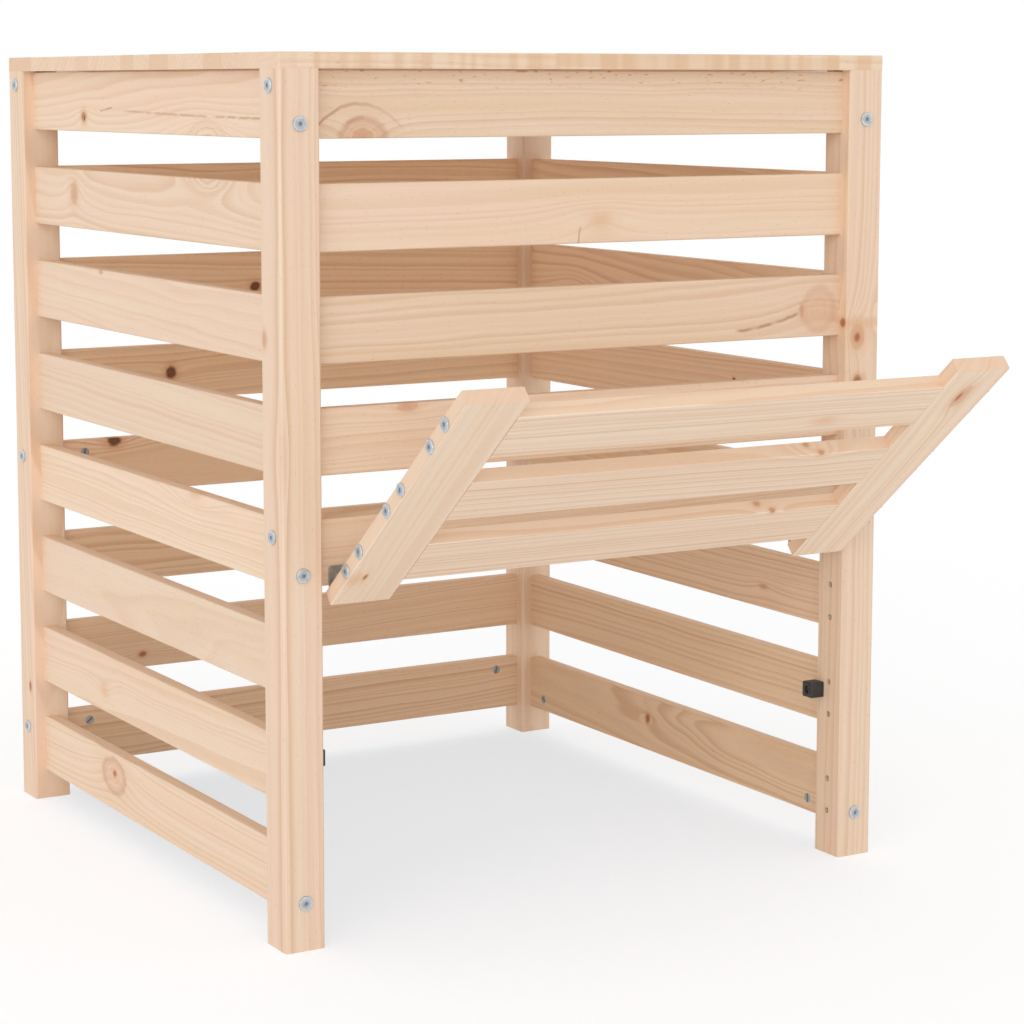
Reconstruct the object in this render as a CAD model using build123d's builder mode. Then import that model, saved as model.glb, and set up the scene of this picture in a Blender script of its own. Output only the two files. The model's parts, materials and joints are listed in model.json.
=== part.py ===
from build123d import *

import os
from dataclasses import dataclass
from math import cos, radians, sin

# A slatted timber compost bin, in millimetres: +X right, -Y front, +Z up.
# The origin is on the ground, in the middle of the four posts.
# The lid is closed, and the flap at the foot of the front wall is drawn swung up.

# Overall size with the flap shut
bin_width = 635.0
bin_depth = 635.0
bin_height = 775.0

# Timber sections
post_size = 38.0
post_easing = 1.5
board_width = 58.0
board_thickness = 14.0
board_easing = 0.8
lid_thickness = 14.0
lid_easing = 1.0

# Slatted walls
slat_count = 8
front_slat_count = 5
slat_inset = 12.0
lowest_slat_height = 30.0
lid_gap = 1.0

# Dowels from the slats into the posts
hole_spacing = 32.0
dowel_diameter = 6.0
dowel_reach = 14.0
socket_clearance = 0.2
socket_end_room = 1.0

# Bolts through the posts into barrel nuts in the slats
bolt_diameter = 6.0
bolt_clearance = 0.4
bolt_head_diameter = 13.0
bolt_head_thickness = 2.0
bolt_tip = 4.0
nut_diameter = 10.0
nut_length = 11.6
nut_clearance = 0.2
nut_setback = 28.0

# Flap of two stiles and three slats, screwed through the stiles' edges
flap_open_angle = 130.0
flap_side_gap = 5.0
flap_top_gap = 6.0
flap_ground_gap = 6.0
flap_screw_diameter = 6.0
flap_screw_clearance = 0.4
flap_screw_head_diameter = 12.5
flap_screw_head_thickness = 1.8
flap_screw_bite = 26.0

# Butt hinges: two on the flap and two on the lid
knuckle_diameter = 6.0
knuckle_count = 3
pin_diameter = 3.0
pin_clearance = 0.05
pin_overhang = 0.6
leaf_thickness = 1.5
leaf_gap = 0.3
flap_hinge_length = 45.0
flap_leaf_reach = 20.5
lid_hinge_length = 30.0
lid_leaf_reach = 12.5

# Stop blocks behind the shut flap
stop_size = 15.0
stop_easing = 1.0
stop_height = 162.0
stop_gap = 0.5
stop_screw_diameter = 3.0
stop_screw_clearance = 0.2
stop_screw_head_diameter = 6.5
stop_screw_head_thickness = 2.0
stop_recess_diameter = 7.5
stop_recess_depth = 5.0
stop_screw_bite = 16.0

# Small round hardware repeats many times, so it is drawn with few sides, and fewer inside the joints.
hardware_sides = 10
hidden_sides = 6

# Heights of the slats, from the top row down
post_height = bin_height - lid_thickness
slats_top = post_height - lid_gap
slat_pitch = (slats_top - lowest_slat_height - board_width) / (slat_count - 1)
slat_levels = [slats_top - board_width / 2 - row * slat_pitch for row in range(slat_count)]
bolted_rows = {0, front_slat_count - 1, slat_count - 1}
hole_rises = [hole_spacing / 2, -hole_spacing / 2]

# Places worked out from the overall size
front_length = bin_width - 2 * post_size
side_length = bin_depth - 2 * post_size
front_distance = bin_depth / 2 - slat_inset - board_thickness / 2
side_distance = bin_width / 2 - slat_inset - board_thickness / 2
post_x = (bin_width - post_size) / 2
post_y = (bin_depth - post_size) / 2

# Flap sizes, measured from its hinge pin
knuckle_radius = knuckle_diameter / 2
flap_pin_y = -front_distance - board_thickness / 2 - knuckle_radius
flap_pin_z = slat_levels[front_slat_count - 1] - (board_width + flap_top_gap) / 2
flap_width = front_length - 2 * flap_side_gap
flap_stile_x = (flap_width - board_width) / 2
flap_stile_start = flap_top_gap / 2
flap_stile_length = flap_pin_z - flap_stile_start - flap_ground_gap
flap_slat_length = flap_width - 2 * board_width
flap_slat_drops = [flap_pin_z - level for level in slat_levels[front_slat_count:]]
flap_screw_drops = [drop + rise for drop in flap_slat_drops for rise in hole_rises]
stop_y = flap_pin_y + knuckle_radius + board_thickness + stop_gap + stop_size / 2
lid_pin_y = bin_depth / 2 + knuckle_radius

# The flap's plane lies on its pin: local y runs down the flap and local z towards its inner face.
flap_turn = radians(flap_open_angle)
flap_plane = Plane(
    (0, flap_pin_y, flap_pin_z), x_dir=(1, 0, 0), z_dir=(0, cos(flap_turn), -sin(flap_turn))
)
sides = {"left": -1, "right": 1}


@dataclass
class Wall:
    """One slatted side of the bin: local x runs along it, local y up and local z outwards."""

    name: str
    outward: tuple
    along: tuple
    distance: float
    slat_length: float
    rows: range
    bolt_rise: float

    def plane(self):
        """Plane through the middle of the slats' thickness, with its origin on the ground."""
        return Plane(Vector(self.outward) * self.distance, x_dir=self.along, z_dir=self.outward)

    def end_plane(self, side):
        """Plane on the slats' ends, with local x up and local z into the post."""
        plane = self.plane()
        corner = plane.from_local_coords((side * self.slat_length / 2, 0, 0))
        return Plane(corner, x_dir=plane.y_dir, z_dir=plane.x_dir * side)

    def dowel_places(self, rows):
        """Dowels on an end plane: two for each slat, or one beside a bolt."""
        return [
            (slat_levels[row] + rise, 0)
            for row in rows
            for rise in hole_rises
            if row not in bolted_rows or rise != self.bolt_rise
        ]

    def bolt_places(self, rows):
        """Bolts on an end plane."""
        return [(slat_levels[row] + self.bolt_rise, 0) for row in rows if row in bolted_rows]

    def nut_places(self, rows, side):
        """Barrel nuts on the wall's own plane, in line with the bolts."""
        along = side * (self.slat_length / 2 - nut_setback)
        return [(along, height) for height, _ in self.bolt_places(rows)]


# The walls go round the bin, so each post stands between one wall's far end and the next wall's near end.
# The side walls' bolts use the lower holes and the others the upper, so they pass clear in a post.
upper, lower = hole_rises
all_rows = range(slat_count)
front_rows = range(front_slat_count)
walls = [
    Wall("front", (0, -1, 0), (1, 0, 0), front_distance, front_length, front_rows, upper),
    Wall("right", (1, 0, 0), (0, 1, 0), side_distance, side_length, all_rows, lower),
    Wall("rear", (0, 1, 0), (-1, 0, 0), front_distance, front_length, all_rows, upper),
    Wall("left", (-1, 0, 0), (0, -1, 0), side_distance, side_length, all_rows, lower),
]
post_places = {
    "front_right": (post_x, -post_y),
    "rear_right": (post_x, post_y),
    "rear_left": (-post_x, post_y),
    "front_left": (-post_x, -post_y),
}


def stop_plane(side):
    """Plane of a stop block's seat on a front post, with local z towards the middle of the bin."""
    return Plane((side * front_length / 2, stop_y, stop_height), x_dir=(0, 1, 0), z_dir=(-side, 0, 0))


def flap_edge_plane(side):
    """Plane on the outer edge of a flap stile, with local x down the flap and local z outwards."""
    corner = flap_plane.from_local_coords((side * flap_width / 2, 0, knuckle_radius + board_thickness / 2))
    return Plane(corner, x_dir=flap_plane.y_dir, z_dir=(side, 0, 0))


def save(piece, name):
    """Label a finished piece and write its STEP file."""
    piece.part.label = name
    export_step(piece.part, f"parts/{name}.step")


os.makedirs("parts", exist_ok=True)

# Posts, drilled on the two faces that carry slats
for corner, (name, place) in enumerate(post_places.items()):
    wall_ends = [(walls[corner], 1), (walls[(corner + 1) % len(walls)], -1)]
    with BuildPart() as post:
        with BuildSketch():
            with Locations(place):
                Rectangle(post_size, post_size)
        extrude(amount=post_height)
        chamfer(post.edges().filter_by(Axis.Z), length=post_easing)
        for wall, side in wall_ends:
            with BuildSketch(wall.end_plane(side)):
                with Locations(*wall.dowel_places(wall.rows)):
                    RegularPolygon((dowel_diameter + socket_clearance) / 2, hidden_sides)
            extrude(amount=dowel_reach + socket_end_room, mode=Mode.SUBTRACT)
            with BuildSketch(wall.end_plane(side)):
                with Locations(*wall.bolt_places(wall.rows)):
                    RegularPolygon((bolt_diameter + bolt_clearance) / 2, hidden_sides)
            extrude(amount=post_size, mode=Mode.SUBTRACT)
            # Every post is drilled for a full wall, so beside the flap the front posts' holes stay empty.
            empty_rows = [row for row in all_rows if row not in wall.rows]
            if empty_rows:
                with BuildSketch(wall.end_plane(side)):
                    with Locations(*[(slat_levels[row] + rise, 0) for row in empty_rows for rise in hole_rises]):
                        RegularPolygon((dowel_diameter + socket_clearance) / 2, hardware_sides)
                extrude(amount=dowel_reach + socket_end_room, mode=Mode.SUBTRACT)
                with BuildSketch(stop_plane(side)):
                    RegularPolygon((stop_screw_diameter + stop_screw_clearance) / 2, hidden_sides)
                extrude(amount=-stop_screw_bite - socket_end_room, mode=Mode.SUBTRACT)
    save(post, f"{name}_post")

# Slats, each with its dowels glued into its ends
for wall in walls:
    for row in wall.rows:
        with BuildPart() as slat:
            with BuildSketch(wall.plane()):
                with Locations((0, slat_levels[row])):
                    Rectangle(wall.slat_length, board_width)
            extrude(amount=board_thickness / 2, both=True)
            chamfer(slat.edges().filter_by(Axis((0, 0, 0), wall.along)), length=board_easing)
            for side in sides.values():
                with BuildSketch(wall.end_plane(side)):
                    with Locations(*wall.dowel_places([row])):
                        RegularPolygon(dowel_diameter / 2, hidden_sides)
                extrude(amount=dowel_reach)
                if row in bolted_rows:
                    with BuildSketch(wall.end_plane(side)):
                        with Locations(*wall.bolt_places([row])):
                            RegularPolygon((bolt_diameter + bolt_clearance) / 2, hidden_sides)
                    extrude(amount=-nut_setback, mode=Mode.SUBTRACT)
                    with BuildSketch(wall.plane().offset(-board_thickness / 2)):
                        with Locations(*wall.nut_places([row], side)):
                            RegularPolygon((nut_diameter + nut_clearance) / 2, hardware_sides)
                    extrude(amount=nut_length + nut_clearance, mode=Mode.SUBTRACT)
        save(slat, f"{wall.name}_slat_{row + 1}")

# Bolts, with flat round heads on the outside of the posts
with BuildPart() as frame_bolts:
    for wall in walls:
        for side in sides.values():
            with BuildSketch(wall.end_plane(side).offset(post_size)):
                with Locations(*wall.bolt_places(wall.rows)):
                    RegularPolygon(bolt_head_diameter / 2, hardware_sides)
            extrude(amount=bolt_head_thickness)
            with BuildSketch(wall.end_plane(side).offset(post_size)):
                with Locations(*wall.bolt_places(wall.rows)):
                    RegularPolygon(bolt_diameter / 2, hidden_sides)
            extrude(amount=-post_size - nut_setback - bolt_tip)
save(frame_bolts, "frame_bolts")

# Barrel nuts, let into the slats from inside the bin and bored across for the bolts
with BuildPart() as barrel_nuts:
    for wall in walls:
        for side in sides.values():
            with BuildSketch(wall.plane().offset(-board_thickness / 2)):
                with Locations(*wall.nut_places(wall.rows, side)):
                    RegularPolygon(nut_diameter / 2, hardware_sides)
            extrude(amount=nut_length)
            with BuildSketch(wall.end_plane(side)):
                with Locations(*wall.bolt_places(wall.rows)):
                    RegularPolygon((bolt_diameter + bolt_clearance) / 2, hidden_sides)
            extrude(amount=-nut_setback - bolt_tip - nut_clearance, mode=Mode.SUBTRACT)
save(barrel_nuts, "barrel_nuts")

# Lid, one flat panel flush with the outside of the posts
with BuildPart() as lid:
    with BuildSketch(Plane.XY.offset(post_height)):
        Rectangle(bin_width, bin_depth)
    extrude(amount=lid_thickness)
    chamfer(lid.edges().filter_by(Axis.Z) + lid.faces().sort_by(Axis.Z)[-1].edges(), length=lid_easing)
save(lid, "lid")

# Flap stiles, bored through their width for the screws
flap_down = Axis((0, 0, 0), flap_plane.y_dir)
for name, side in sides.items():
    with BuildPart() as stile:
        with BuildSketch(flap_plane.offset(knuckle_radius)):
            with Locations((side * flap_stile_x, flap_stile_start + flap_stile_length / 2)):
                Rectangle(board_width, flap_stile_length)
        extrude(amount=board_thickness)
        chamfer(stile.edges().filter_by(flap_down), length=board_easing)
        with BuildSketch(flap_edge_plane(side)):
            with Locations(*[(drop, 0) for drop in flap_screw_drops]):
                RegularPolygon((flap_screw_diameter + flap_screw_clearance) / 2, hidden_sides)
        extrude(amount=-board_width, mode=Mode.SUBTRACT)
    save(stile, f"flap_stile_{name}")

# Flap slats between the stiles, level with the lowest slats of the other walls when the flap is shut
for number, drop in enumerate(flap_slat_drops, start=1):
    with BuildPart() as flap_slat:
        with BuildSketch(flap_plane.offset(knuckle_radius)):
            with Locations((0, drop)):
                Rectangle(flap_slat_length, board_width)
        extrude(amount=board_thickness)
        chamfer(flap_slat.edges().filter_by(Axis.X), length=board_easing)
        for side in sides.values():
            with BuildSketch(flap_edge_plane(side).offset(-board_width)):
                with Locations(*[(drop + rise, 0) for rise in hole_rises]):
                    RegularPolygon((flap_screw_diameter + flap_screw_clearance) / 2, hidden_sides)
            extrude(amount=-flap_screw_bite - socket_end_room, mode=Mode.SUBTRACT)
    save(flap_slat, f"flap_slat_{number}")

# Flap screws, with round heads on the stiles' outer edges
with BuildPart() as flap_screws:
    for side in sides.values():
        with BuildSketch(flap_edge_plane(side)):
            with Locations(*[(drop, 0) for drop in flap_screw_drops]):
                RegularPolygon(flap_screw_head_diameter / 2, hardware_sides)
        extrude(amount=flap_screw_head_thickness)
        with BuildSketch(flap_edge_plane(side)):
            with Locations(*[(drop, 0) for drop in flap_screw_drops]):
                RegularPolygon(flap_screw_diameter / 2, hidden_sides)
        extrude(amount=-board_width - flap_screw_bite)
save(flap_screws, "flap_screws")

# Stop blocks on the front posts, recessed for their screw heads
for name, side in sides.items():
    with BuildPart() as stop:
        with BuildSketch(stop_plane(side)):
            Rectangle(stop_size, stop_size)
        extrude(amount=stop_size)
        chamfer(stop.faces().sort_by(Axis.X)[0 if side > 0 else -1].edges(), length=stop_easing)
        with BuildSketch(stop_plane(side).offset(stop_size)):
            RegularPolygon(stop_recess_diameter / 2, hardware_sides)
        extrude(amount=-stop_recess_depth, mode=Mode.SUBTRACT)
        with BuildSketch(stop_plane(side)):
            RegularPolygon((stop_screw_diameter + stop_screw_clearance) / 2, hidden_sides)
        extrude(amount=stop_size, mode=Mode.SUBTRACT)
    save(stop, f"flap_stop_{name}")

# Stop screws
with BuildPart() as stop_screws:
    for side in sides.values():
        with BuildSketch(stop_plane(side).offset(stop_size - stop_recess_depth)):
            RegularPolygon(stop_screw_head_diameter / 2, hardware_sides)
        extrude(amount=stop_screw_head_thickness)
        with BuildSketch(stop_plane(side).offset(stop_size - stop_recess_depth)):
            RegularPolygon(stop_screw_diameter / 2, hidden_sides)
        extrude(amount=stop_recess_depth - stop_size - stop_screw_bite)
save(stop_screws, "stop_screws")


def knuckle_spans(length, first):
    """Middles of a leaf's own knuckles along the pin: every other one, from the first."""
    step = length / knuckle_count
    return [(index + 0.5) * step - length / 2 for index in range(first, knuckle_count, 2)]


def hinge_leaf(plane, length, reach, first):
    """A hinge leaf on a plane through its pin: local x along the pin, y along the leaf, z to the wood."""
    knuckle_length = length / knuckle_count - leaf_gap
    plate_start = knuckle_radius + leaf_gap
    middles = knuckle_spans(length, first)
    with BuildPart() as leaf:
        with BuildSketch(plane.offset(knuckle_radius - leaf_thickness)):
            with Locations((0, (plate_start + reach) / 2)):
                Rectangle(length, reach - plate_start)
            with Locations(*[(middle, plate_start / 2) for middle in middles]):
                Rectangle(knuckle_length, plate_start)
        extrude(amount=leaf_thickness)
        for middle in middles:
            centre = plane.from_local_coords((middle, 0, 0))
            with BuildSketch(Plane(centre, x_dir=plane.y_dir, z_dir=plane.x_dir)):
                RegularPolygon(knuckle_radius, hardware_sides)
            extrude(amount=knuckle_length / 2, both=True)
        with BuildSketch(Plane(plane.origin, x_dir=plane.y_dir, z_dir=plane.x_dir)):
            RegularPolygon(pin_diameter / 2 + pin_clearance, hardware_sides, major_radius=False)
        extrude(amount=length, both=True, mode=Mode.SUBTRACT)
    return leaf


# Flap hinges: one leaf on the lowest front slat, the other on the stile's outer face
for name, side in sides.items():
    pin_centre = flap_plane.from_local_coords((side * flap_stile_x, 0, 0))
    slat_leaf_plane = Plane(pin_centre, x_dir=(-1, 0, 0), z_dir=(0, 1, 0))
    stile_leaf_plane = Plane(pin_centre, x_dir=(1, 0, 0), z_dir=flap_plane.z_dir)
    slat_leaf = hinge_leaf(slat_leaf_plane, flap_hinge_length, flap_leaf_reach, 0)
    stile_leaf = hinge_leaf(stile_leaf_plane, flap_hinge_length, flap_leaf_reach, 1)
    save(slat_leaf, f"flap_hinge_slat_leaf_{name}")
    save(stile_leaf, f"flap_hinge_stile_leaf_{name}")

# Lid hinges: one leaf on a rear post's back, the other on the lid's rear edge
for name, side in sides.items():
    pin_centre = (side * post_x, lid_pin_y, post_height)
    post_leaf_plane = Plane(pin_centre, x_dir=(-1, 0, 0), z_dir=(0, -1, 0))
    lid_leaf_plane = Plane(pin_centre, x_dir=(1, 0, 0), z_dir=(0, -1, 0))
    post_leaf = hinge_leaf(post_leaf_plane, lid_hinge_length, lid_leaf_reach, 0)
    lid_leaf = hinge_leaf(lid_leaf_plane, lid_hinge_length, lid_leaf_reach, 1)
    save(post_leaf, f"lid_hinge_post_leaf_{name}")
    save(lid_leaf, f"lid_hinge_lid_leaf_{name}")

# Hinge pins
pin_sets = {
    "flap_hinge_pins": (flap_stile_x, flap_pin_y, flap_pin_z, flap_hinge_length),
    "lid_hinge_pins": (post_x, lid_pin_y, post_height, lid_hinge_length),
}
for name, (pin_x, pin_y, pin_z, hinge_length) in pin_sets.items():
    with BuildPart() as pins:
        for side in sides.values():
            with BuildSketch(Plane((side * pin_x, pin_y, pin_z), x_dir=(0, 1, 0), z_dir=(1, 0, 0))):
                RegularPolygon(pin_diameter / 2, hardware_sides)
            extrude(amount=hinge_length / 2 + pin_overhang, both=True)
    save(pins, name)
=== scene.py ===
"""Looks of a slatted pine compost bin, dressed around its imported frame. Metres, +Z up, -Y front."""

import json
import logging
import math
from collections.abc import Callable
from dataclasses import dataclass, replace
from enum import Enum
from typing import Any, Union

import bpy
import numpy as np
from mathutils import Euler, Matrix, Vector


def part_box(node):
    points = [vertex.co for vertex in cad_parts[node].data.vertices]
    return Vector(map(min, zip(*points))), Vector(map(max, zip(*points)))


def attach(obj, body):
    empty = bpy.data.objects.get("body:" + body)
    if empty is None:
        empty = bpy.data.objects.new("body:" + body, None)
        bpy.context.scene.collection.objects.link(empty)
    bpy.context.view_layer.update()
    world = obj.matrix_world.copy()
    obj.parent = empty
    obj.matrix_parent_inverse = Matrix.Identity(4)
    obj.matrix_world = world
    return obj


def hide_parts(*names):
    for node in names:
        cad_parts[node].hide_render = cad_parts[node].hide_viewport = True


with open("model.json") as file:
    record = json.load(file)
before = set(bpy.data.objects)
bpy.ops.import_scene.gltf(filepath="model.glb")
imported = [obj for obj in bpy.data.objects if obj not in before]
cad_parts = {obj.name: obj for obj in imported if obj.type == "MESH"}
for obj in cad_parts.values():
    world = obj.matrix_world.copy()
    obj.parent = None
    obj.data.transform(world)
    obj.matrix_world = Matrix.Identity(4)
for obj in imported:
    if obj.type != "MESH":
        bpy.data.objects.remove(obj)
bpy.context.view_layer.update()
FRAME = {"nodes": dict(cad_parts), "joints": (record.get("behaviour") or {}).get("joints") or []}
LOG = logging.getLogger("compost_bin")

Colour = tuple[float, float, float]
Vec3 = tuple[float, float, float]
Pair = tuple[float, float]
Socket = bpy.types.NodeSocket

MM = 0.001
SEED = 11
FLAT_SAWN = 0.45
SIDES = 48
DEEP = 1e4
CREASE = math.radians(32)
RIGHT: Vec3 = (1.0, 0.0, 0.0)
BACK: Vec3 = (0.0, 1.0, 0.0)
FRONT: Vec3 = (0.0, -1.0, 0.0)
UP: Vec3 = (0.0, 0.0, 1.0)
DOWN: Vec3 = (0.0, 0.0, -1.0)
HANDS = ("left", "right")
JOINTS = {joint["name"]: joint for joint in FRAME["joints"]}
ANGLES = np.linspace(0, 2 * np.pi, SIDES, endpoint=False)


def paint(red: int, green: int, blue: int) -> Colour:
    """Turn a colour of 0 to 255 steps, as a screen shows it, into linear light.

    Args:
        red: Red step.
        green: Green step.
        blue: Blue step.

    Returns:
        Linear red, green and blue.
    """
    steps = np.array([red, green, blue]) / 255
    linear = np.where(steps <= 0.04045, steps / 12.92, ((steps + 0.055) / 1.055) ** 2.4)
    return tuple(float(part) for part in linear)


def math_method(operation: str, flipped: bool = False) -> Callable[..., "Value"]:
    """Make a method of Value that adds one Math node.

    Args:
        operation: What the node does.
        flipped: Whether the value itself comes last, as in a reflected operator.

    Returns:
        The method.
    """

    def method(self: "Value", *others: "Number") -> "Value":
        """Add the node and give its result."""
        parts = (*others, self) if flipped else (self, *others)
        return self.bench.math(operation, *parts)

    return method


class Value:
    """A number worked out at each point of a surface. Arithmetic on it adds Math nodes."""

    def __init__(self, bench: "Bench", socket: Socket) -> None:
        """Hold the socket that gives the number, and the bench that adds nodes after it."""
        self.bench = bench
        self.socket = socket

    __add__ = __radd__ = math_method("ADD")
    __sub__ = math_method("SUBTRACT")
    __rsub__ = math_method("SUBTRACT", flipped=True)
    __mul__ = __rmul__ = math_method("MULTIPLY")
    __truediv__ = math_method("DIVIDE")
    __rtruediv__ = math_method("DIVIDE", flipped=True)
    __pow__ = math_method("POWER")
    __abs__ = math_method("ABSOLUTE")
    fract = math_method("FRACT")
    floor = math_method("FLOOR")
    root = math_method("SQRT")
    most = math_method("MAXIMUM")

    def step(self, start: float, end: float) -> "Value":
        """Smooth step from 0 at start to 1 at end.

        Args:
            start: Where the step begins.
            end: Where the step is complete, above or below start.

        Returns:
            The step, between 0 and 1.
        """
        if end < start:
            return 1 - self.step(end, start)
        made = self.bench.node(
            "ShaderNodeMapRange",
            {"interpolation_type": "SMOOTHSTEP"},
            {"Value": self, "From Min": start, "From Max": end},
        )
        return Value(self.bench, made.outputs["Result"])


Number = Union[Value, float, int]


class Bench:
    """The node tree of one material or world, and the one place where its nodes are made."""

    def __init__(self, owner: bpy.types.Material | bpy.types.World) -> None:
        """Start with an empty tree."""
        owner.use_nodes = True
        self.owner = owner
        self.tree = owner.node_tree
        self.tree.nodes.clear()

    def node(
        self, kind: str, settings: dict[str, Any] | None = None, inputs: dict[Any, Any] | None = None
    ) -> bpy.types.Node:
        """Add one node.

        Args:
            kind: Blender's name for the type of node.
            settings: Properties of the node, set before its sockets.
            inputs: Values or links of its sockets, by name or place.

        Returns:
            The node.
        """
        made = self.tree.nodes.new(kind)
        for name, setting in (settings or {}).items():
            setattr(made, name, setting)
        for key, given in (inputs or {}).items():
            source = given.socket if isinstance(given, Value) else given
            if isinstance(source, Socket):
                self.tree.links.new(source, made.inputs[key])
            else:
                made.inputs[key].default_value = source
        return made

    def math(self, operation: str, *parts: Number) -> Value:
        """Add a Math node and give its result."""
        made = self.node("ShaderNodeMath", {"operation": operation}, dict(enumerate(parts)))
        return Value(self, made.outputs[0])

    def split(self, vector: Socket) -> tuple[Value, Value, Value]:
        """Take a vector or a colour apart into its three numbers."""
        made = self.node("ShaderNodeSeparateXYZ", inputs={0: vector})
        return tuple(Value(self, out) for out in made.outputs)

    def stretch(self, vector: Socket, scale: Vec3, offset: float = 0.0) -> Socket:
        """Scale a vector along each axis, then move it by the same offset along all three."""
        inputs = {0: vector, 1: scale, 2: (offset,) * 3}
        return self.node("ShaderNodeVectorMath", {"operation": "MULTIPLY_ADD"}, inputs).outputs["Vector"]

    def millimetres(self) -> Socket:
        """Object coordinates in millimetres."""
        return self.stretch(self.node("ShaderNodeTexCoord").outputs["Object"], (1 / MM,) * 3)

    def noise(
        self, place: Socket, span: Vec3, offset: float = 0.0, detail: float = 2.0, rough: float = 0.5
    ) -> tuple[Value, Value, Value]:
        """Add soft noise in three dimensions.

        Args:
            place: Where to read it, in millimetres.
            span: Size of its grains along each axis, in millimetres.
            offset: Which part of the noise is read.
            detail: Number of finer layers.
            rough: Share of each finer layer.

        Returns:
            Three noises that don't follow each other, about 0.5.
        """
        vector = self.stretch(place, tuple(1 / size for size in span), offset)
        inputs = {"Vector": vector, "Scale": 1.0, "Detail": detail, "Roughness": rough}
        return self.split(self.node("ShaderNodeTexNoise", inputs=inputs).outputs["Color"])

    def run_noise(self, along: Number) -> Value:
        """Soft noise along one number, about 0.5."""
        inputs = {"W": along, "Scale": 1.0, "Detail": 1.0}
        made = self.node("ShaderNodeTexNoise", {"noise_dimensions": "1D"}, inputs)
        return Value(self, made.outputs["Fac"])

    def chance(self, number: Number) -> Value:
        """A steady random value for each whole number."""
        made = self.node("ShaderNodeTexWhiteNoise", {"noise_dimensions": "1D"}, {"W": number})
        return Value(self, made.outputs["Value"])

    def dot(self, vector: Socket, along: Vec3) -> Value:
        """How far a vector points along a direction."""
        made = self.node("ShaderNodeVectorMath", {"operation": "DOT_PRODUCT"}, {0: vector, 1: along})
        return Value(self, made.outputs["Value"])

    def mix(
        self, share: Number, first: Colour | Socket, second: Colour | Socket, blend: str = "MIX"
    ) -> Socket:
        """Mix two colours.

        Args:
            share: Share of the second.
            first: Colour or socket.
            second: Colour or socket.
            blend: How they are mixed.

        Returns:
            The mixed colour's socket.
        """
        whole = [(*part, 1.0) if isinstance(part, tuple) else part for part in (first, second)]
        made = self.node(
            "ShaderNodeMix",
            {"data_type": "RGBA", "blend_type": blend},
            {0: share, 6: whole[0], 7: whole[1]},
        )
        return made.outputs[2]

    def shaded(self, colour: Socket, value: Value) -> Socket:
        """Darken or lighten a colour by a factor."""
        grey = self.node("ShaderNodeCombineColor", inputs={0: value, 1: value, 2: value})
        return self.mix(1.0, colour, grey.outputs[0], "MULTIPLY")

    def finish(self, sockets: dict[str, Any], relief: Value, depth: float) -> bpy.types.Material:
        """Close the tree of a material with one shader.

        Args:
            sockets: Values or links of the shader's sockets.
            relief: Height of the fine relief between 0 and 1.
            depth: What a height of 1 stands for, in millimetres.

        Returns:
            The material.
        """
        bump = self.node("ShaderNodeBump", inputs={"Height": relief, "Distance": depth * MM, "Strength": 1.0})
        shader = self.node("ShaderNodeBsdfPrincipled", inputs={**sockets, "Normal": bump.outputs["Normal"]})
        self.node("ShaderNodeOutputMaterial", inputs={"Surface": shader.outputs["BSDF"]})
        return self.owner


def linked(name: str, data: bpy.types.ID) -> bpy.types.Object:
    """Put an object of that data into the scene."""
    made = bpy.data.objects.new(name, data)
    bpy.context.scene.collection.objects.link(made)
    return made


def wear(piece: bpy.types.Object, material: bpy.types.Material) -> None:
    """Give a piece one material, in place of any that it has."""
    piece.data.materials.clear()
    piece.data.materials.append(material)


@dataclass(frozen=True)
class KnotLook:
    """How a knot shows on a planed face: its tone and lines, and the shares of its parts.

    The shares are those of its fill, halo, rim and own rings. firm is the share of the core, out
    from its middle, that the fill covers whole. The edges are the distances from the middle, as
    shares of the core, between which a part comes in or goes out. pace is the number of rings in it.
    """

    tone: Colour
    line: Colour
    fill: float
    halo: float
    rim: float
    growth: float
    firm: float
    fill_end: float = 1.15
    halo_edge: Pair = (2.5, 0.8)
    rim_start: Pair = (0.7, 0.95)
    rim_end: Pair = (1.25, 0.98)
    pace: float = 3.2
    ring_edge: Pair = (0.45, 0.95)


class KnotKind(Enum):
    """The knots of pine, from a pale patch to a dark one, and a swirl of grain with none in sight."""

    PALE = KnotLook(paint(234, 184, 138), paint(206, 152, 108), 0.5, 0.14, 0.08, 0.2, 0.3)
    PLAIN = KnotLook(paint(228, 182, 150), paint(182, 128, 92), 0.42, 0.1, 0.15, 0.16, 0.75)
    ARCED = KnotLook(paint(242, 216, 190), paint(208, 160, 120), 0.5, 0.0, 0.12, 0.8, 0.8)
    RINGED = KnotLook(paint(232, 186, 156), paint(190, 128, 98), 0.34, 0.12, 0.36, 0.8, 0.7)
    ROSY = KnotLook(paint(216, 158, 126), paint(176, 118, 84), 0.6, 0.28, 0.18, 0.3, 0.5)
    RED = KnotLook(paint(172, 100, 64), paint(150, 92, 60), 0.82, 0.55, 0.28, 0.45, 0.55)
    DARK = KnotLook(paint(98, 56, 36), paint(150, 96, 64), 0.92, 0.6, 0.3, 0.45, 0.65)
    SWIRL = KnotLook(paint(214, 170, 130), paint(214, 170, 130), 0.0, 0.0, 0.0, 0.0, 0.5)


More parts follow.
